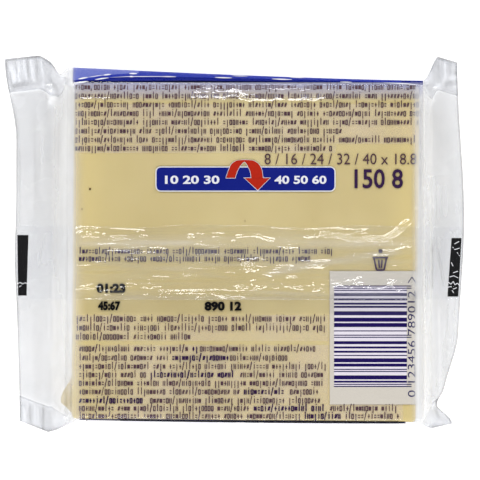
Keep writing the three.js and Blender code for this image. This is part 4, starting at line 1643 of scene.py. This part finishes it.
def wrap_piece(name, table, columns, material, slot, inward, depth, spans=((74, 423),), count=40):
    """Ink round a fold between two columns, over one or more runs of picture columns."""
    outer = wrapped_layer(table, *columns, count, inward * depth)
    inner = wrapped_layer(table, *columns, count, inward * (depth + INK_THICKNESS))
    parts = []
    for left, right in spans:
        first, last = np.searchsorted(outer[0][:, 0], (col(left), col(right)))
        rows = slice(first, last + 1)
        parts.append(closed_between([v[rows] for v in outer], [v[rows] for v in inner]))
    add_piece(name, *joined(parts), material, slot)


def picture_line(places):
    """y in mm at each row of the body, along a line through places of the picture."""
    columns, lines = np.array(places, dtype=float).T
    return np.interp(BODY_X, col(columns), row(lines))


BODY_X = BACK_TABLE[0][BODY_FIRST:BODY_LAST, 0]
BACK_SIZES = {name: np.ravel(value) for name, value in fold_sizes(BODY_X, 1).items()}
INNER_LINE = ((74, 82.4), (93, 80.6), (110, 81.0), (180, 80.5), (250, 81.0), (310, 81.6), (345, 81.8),
              (385, 82.2), (405, 83.3), (423, 84.9))
SHEEN_LINE = ((74, 80.3), (93, 79.7), (110, 77.6), (130, 76.5), (180, 76.7), (230, 77.7), (300, 79.3),
               (345, 80.6), (423, 83.2))
REFLECTION_WEDGE_LINE = ((74, 80.1), (84, 78.6), (100, 76.0), (112, 74.3), (128, 73.1), (140, 72.6))
# Dark blue ink, then a mid blue and a pale blue layer over it: painted reflections of the rounded fold
BAND_LAYERS = (
    ("blue_edge", INNER_LINE, BLUE, 0.070, (72.2, 424)),
    ("blue_painted_sheen_edge", SHEEN_LINE, BLUE_PAINTED_SHEEN, 0.045, (72.2, 400)),
    ("blue_painted_reflection_edge", REFLECTION_WEDGE_LINE, BLUE_PAINTED_REFLECTION, 0.020, (72.2, 138)),
)
for name, line, ink, depth, span in BAND_LAYERS:
    start = 0.0 if name == "blue_edge" else WALL_COLUMNS * 0.9
    stop = column_at(picture_line(line), BACK_SIZES)
    wrap_piece(name, BACK_TABLE, (start, stop), ink, "blue_print", -1, depth, (span,), 60)

# Painted highlights: thin white bands where the lamps catch the creased blue fold, as places in the
# picture and a width in pixels
PAINTED_FOLD_HIGHLIGHTS = (
    (((78, 79.0), (83, 78.1), (88, 77.1)), 1.0), (((88, 77.1), (96, 75.9), (103, 75.0)), 0.4),
    (((103, 75.0), (111, 74.0)), 0.9), (((129, 73.3), (137, 73.4)), 0.9),
    (((74, 82.9), (81, 82.4), (88, 81.2)), 1.1), (((95, 79.6), (101, 78.6), (109, 77.6)), 0.8),
    (((110, 77.4), (128, 76.4), (160, 76.3), (176, 76.6)), 0.35), (((129, 76.4), (134, 76.4)), 0.9),
    (((160, 76.3), (176, 76.6)), 0.6), (((215, 77.3), (232, 77.8)), 0.7),
    (((232, 75.5), (248, 75.9)), 0.5), (((272, 78.8), (292, 79.5)), 0.7),
    (((290, 77.0), (304, 77.6)), 0.5), (((340, 81.9), (352, 82.2)), 0.5),
    (((384, 82.6), (404, 83.6), (422, 85.2)), 0.6),
)

PAINTED_HIGHLIGHT_WIDTH = 0.8


def painted_fold_highlights():
    """A thin white band along each line, widest in its middle by a half sine: a painted highlight."""
    parts = []
    for places, width in PAINTED_FOLD_HIGHLIGHTS:
        x, y = col([place[0] for place in places]), row([place[1] for place in places])
        t = np.linspace(0, len(places) - 1, 8 * len(places))
        x, y = np.interp(t, np.arange(len(places)), x), np.interp(t, np.arange(len(places)), y)
        half = PAINTED_HIGHLIGHT_WIDTH * width * PIXEL * np.sin(np.pi * (t + 0.12) / (t[-1] + 0.24))
        across = np.linspace(-1, 1, 5)[None, :]
        band_y = y[:, None] + half[:, None] * across
        parts.append(ink_plate(x[:, None] + 0 * across, band_y, back_surface, 0.03))
    return joined(parts)


# Painted highlights on the blue fold, drawn in white ink
add_piece("painted_fold_highlights", *painted_fold_highlights(), WHITE, "pale_print")
flat_panel("blue_veil", (74, 82.5, 423, 104), VEIL, "blue_print", lift=-0.03, steps=(220, 60))
SIDE_SPAN = ((78, 406),)
front_end = FRONT_TABLE[0].shape[1] - 1
wrap_piece("blue_side_front", FRONT_TABLE, (0.0, SIDE_COLUMNS + 1.0), BLUE, "blue_print", 1, 0.07)
lower_columns = (front_end - SIDE_COLUMNS - 1.0, front_end)
wrap_piece("lower_side_front", FRONT_TABLE, lower_columns, BLUE, "blue_print", 1, 0.07, SIDE_SPAN)
last_column = BACK_TABLE[0].shape[1] - 1
arc_end = last_column - WALL_COLUMNS
EDGE_LINE_SPANS = ((119, 216), (222, 235), (243, 258), (262, 397))
edge_columns = (arc_end - ARC_COLUMNS * 0.58, arc_end + 0.5)
wrap_piece(
    "lower_edge_line", BACK_TABLE, edge_columns, EDGE_INK, "blue_print", -1, 0.02, EDGE_LINE_SPANS
)
side_columns = (arc_end + 0.0, last_column)
wrap_piece("lower_side", BACK_TABLE, side_columns, BLUE, "blue_print", -1, 0.07, SIDE_SPAN)

# %% [markdown]
# ## Marks at the seals and on the seam
#
# A black mark at each end tells the machine where to cut. They are printed on the outside of the
# seal. A small bin with a ball over it asks to keep the place clean.

# %% Seal marks, the bin and specks
def quad_panel(name, corners, material, slot, steps, height):
    """Ink between four corners in picture pixels, in order round it."""
    corner = [(col(cx), row(cy)) for cx, cy in corners]
    u, v = np.linspace(0, 1, steps[0])[:, None], np.linspace(0, 1, steps[1])[None, :]
    x, y = (
        lerp(lerp(corner[0][k], corner[1][k], u), lerp(corner[3][k], corner[2][k], u), v) for k in (0, 1)
    )
    points, faces = ink_plate(x, y, height)
    add_piece(name, points, faces, material, slot)


def on_seal(x, y):
    return back_height(x, y) + 0.03


LEFT_MARK = ((15.8, 235), (27, 235), (25, 296), (16.4, 296))
RIGHT_MARK = ((453, 238), (463, 238), (460, 297), (449, 297))
quad_panel("left_mark", LEFT_MARK, BLACK, "black_print", (30, 90), on_seal)
quad_panel("right_mark", RIGHT_MARK, BLACK, "black_print", (30, 90), on_seal)

# Painted highlights where the marks' wrinkles catch the lamps, as thin white strokes: lines in the
# picture
MARK_HIGHLIGHT_STROKES = (
    (16.4, 284.0, 18.6, 282.6), (18.6, 282.6, 20.8, 284.4), (20.8, 284.4, 23.6, 283.0),
    (23.6, 283.0, 25.6, 284.0), (17.5, 287.2, 19.6, 286.0), (450.2, 282.6, 452.4, 284.6),
    (452.4, 284.6, 454.8, 281.6), (454.8, 281.6, 456.6, 285.2), (456.6, 285.2, 459.0, 283.4),
    (459.0, 283.4, 461.6, 286.4), (449.8, 287.6, 452.6, 286.8), (452.6, 286.8, 455.2, 289.4),
    (455.2, 289.4, 458.4, 288.0), (456.0, 244.0, 460.5, 241.5), (453.6, 290.6, 455.4, 293.4),
    (454.2, 247.0, 456.4, 249.6), (456.4, 249.6, 461.0, 248.2), (458.6, 252.4, 461.2, 256.0),
    (452.8, 262.4, 454.6, 266.4), (454.6, 273.0, 459.6, 271.4), (451.0, 277.2, 455.4, 276.0),
    (455.4, 276.0, 459.8, 278.2),
)
mark_highlight_ends = np.array([(col(a), row(b), col(c), row(d)) for a, b, c, d in MARK_HIGHLIGHT_STROKES])
# Painted highlights on the black marks, drawn in white ink
add_piece("mark_painted_highlights", *strokes(mark_highlight_ends, 0.17, on_seal, 0.015), WHITE, "pale_print", smooth=False)

BIN_STROKES = (
    (374.0, 258.0, 376.5, 270.0), (376.5, 270.0, 384.0, 270.0), (384.0, 270.0, 386.5, 258.0),
    (372.5, 257.6, 388.0, 257.6), (378.6, 260.0, 379.4, 268.0), (382.0, 260.0, 381.4, 268.0),
    (378.5, 251.2, 382.5, 251.2), (378.8, 250.2, 382.2, 250.2), (378.8, 252.2, 382.2, 252.2),
)
bin_ends = np.array([(col(a), row(b), col(c), row(d)) for a, b, c, d in BIN_STROKES])
add_piece("bin_mark", *strokes(bin_ends, 0.42, over_film), BOLD_PURPLE, "purple_print", smooth=False)


def specks():
    """Small flat discs of brown on the cheese."""
    spots = ((90, 189, 0.30), (82, 209, 0.16), (245, 221, 0.17), (313, 220, 0.12), (346, 214, 0.10))
    angle = np.linspace(0, 2 * np.pi, 17)[None, :]
    parts = []
    for cx, cy, radius in spots:
        r = radius * np.linspace(0.02, 1, 4)[:, None]
        x, y = col(cx) + r * np.cos(angle), row(cy) + r * np.sin(angle) * 0.8
        parts.append(ink_plate(x, y, under_film, -0.05))
    return joined(parts)


add_piece("brown_specks", *specks(), BROWN, "purple_print")

# %% [markdown]
# ## The hidden front
#
# The front panel lies on the table. Nothing of it shows, so it only gets plain fields of the
# pack's own blue and red.

# %% Front fields
def front_field(name, x_range, y_range, material, slot):
    """A rectangle of ink in pack mm, just over the film's front."""
    x = np.linspace(*x_range, 60)[:, None]
    y = np.linspace(*y_range, 40)[None, :]
    x, y = np.broadcast_arrays(x, y)
    low = front_height(x, y) + 0.03
    points, faces = plate(x, y, low + INK_THICKNESS, low)
    add_piece(name, points, faces, material, slot)


front_field("front_blue_field", (-42.0, 42.0), (14.0, 40.5), BLUE, "blue_print")
front_field("front_red_field", (-42.0, 42.0), (9.5, 13.2), RED, "red_print")
front_field("front_lower_field", (-42.0, 42.0), (-40.8, -33.0), BLUE, "blue_print")

# %% [markdown]
# ## The stage: floor, light, camera
#
# The picture is a plain top view on white. A pale floor that glows like a light table, a soft
# grey room and two long softboxes beside the pack give it: film that tips towards a softbox
# lights up as a thin white streak, and film that tips towards the room looks grey.

# %% Floor, softboxes and camera
CAMERA_HEIGHT = 1.2
FRAME_PIXELS = 480
SENSOR = 36.0
VIEW_WIDTH = FRAME_PIXELS * PIXEL * MM


def pale_floor():
    bpy.ops.mesh.primitive_plane_add(size=6, location=(0, 0, -0.0004))
    floor = bpy.context.object
    floor.name = "floor"
    material, _, paint, _ = new_material("floor_paint")
    paint.inputs["Base Color"].default_value = (0.93, 0.93, 0.93, 1)
    paint.inputs["Roughness"].default_value = 0.9
    paint.inputs["Specular IOR Level"].default_value = 0.0
    paint.inputs["Emission Color"].default_value = (1, 1, 1, 1)
    paint.inputs["Emission Strength"].default_value = 0.35
    floor.data.materials.append(material)


def softbox(name, place, size, power):
    data = bpy.data.lights.new(name, "AREA")
    data.shape = "RECTANGLE"
    data.size, data.size_y = size
    data.energy = power
    lamp = bpy.data.objects.new(name, data)
    bpy.context.scene.collection.objects.link(lamp)
    lamp.location = place
    lamp.rotation_euler = (Vector((0, 0, 0.01)) - Vector(place)).to_track_quat("-Z", "Y").to_euler()


def soft_room():
    """An even room that is dimmer straight above, as behind a camera."""
    world = bpy.data.worlds.new("room")
    bpy.context.scene.world = world
    world.use_nodes = True
    tree = world.node_tree
    light = tree.nodes["Background"]
    light.inputs["Color"].default_value = (1.0, 1.0, 1.0, 1)
    height = tree.nodes.new("ShaderNodeSeparateXYZ")
    tree.links.new(tree.nodes.new("ShaderNodeTexCoord").outputs["Generated"], height.inputs[0])
    ramp = tree.nodes.new("ShaderNodeMapRange")
    ramp.inputs["From Min"].default_value, ramp.inputs["From Max"].default_value = 0.72, 0.97
    ramp.inputs["To Min"].default_value, ramp.inputs["To Max"].default_value = 0.72, 0.02
    tree.links.new(height.outputs["Z"], ramp.inputs["Value"])
    tree.links.new(ramp.outputs[0], light.inputs["Strength"])


pale_floor()
soft_room()
softbox("softbox_far", (0.0, 0.62, 1.0), (1.2, 0.2), 7.2)
softbox("softbox_near", (0.0, -0.62, 1.0), (1.2, 0.2), 6.4)

scene = bpy.context.scene
camera_data = bpy.data.cameras.new("camera")
camera = bpy.data.objects.new("camera", camera_data)
scene.collection.objects.link(camera)
camera_data.sensor_width = SENSOR
camera_data.lens = SENSOR * (CAMERA_HEIGHT - BODY_TOP * MM) / VIEW_WIDTH
camera.location = (
    (float(col(FRAME_PIXELS / 2)) + SHIFT_X) * MM,
    (float(row(FRAME_PIXELS / 2)) + SHIFT_Y) * MM,
    CAMERA_HEIGHT,
)
camera_data.clip_start, camera_data.clip_end = 0.05, 10.0
scene.camera = camera
scene.view_settings.view_transform = "Standard"
scene.cycles.transparent_max_bounces = 48
print(f"camera {CAMERA_HEIGHT} m up, lens {camera_data.lens:.0f} mm")
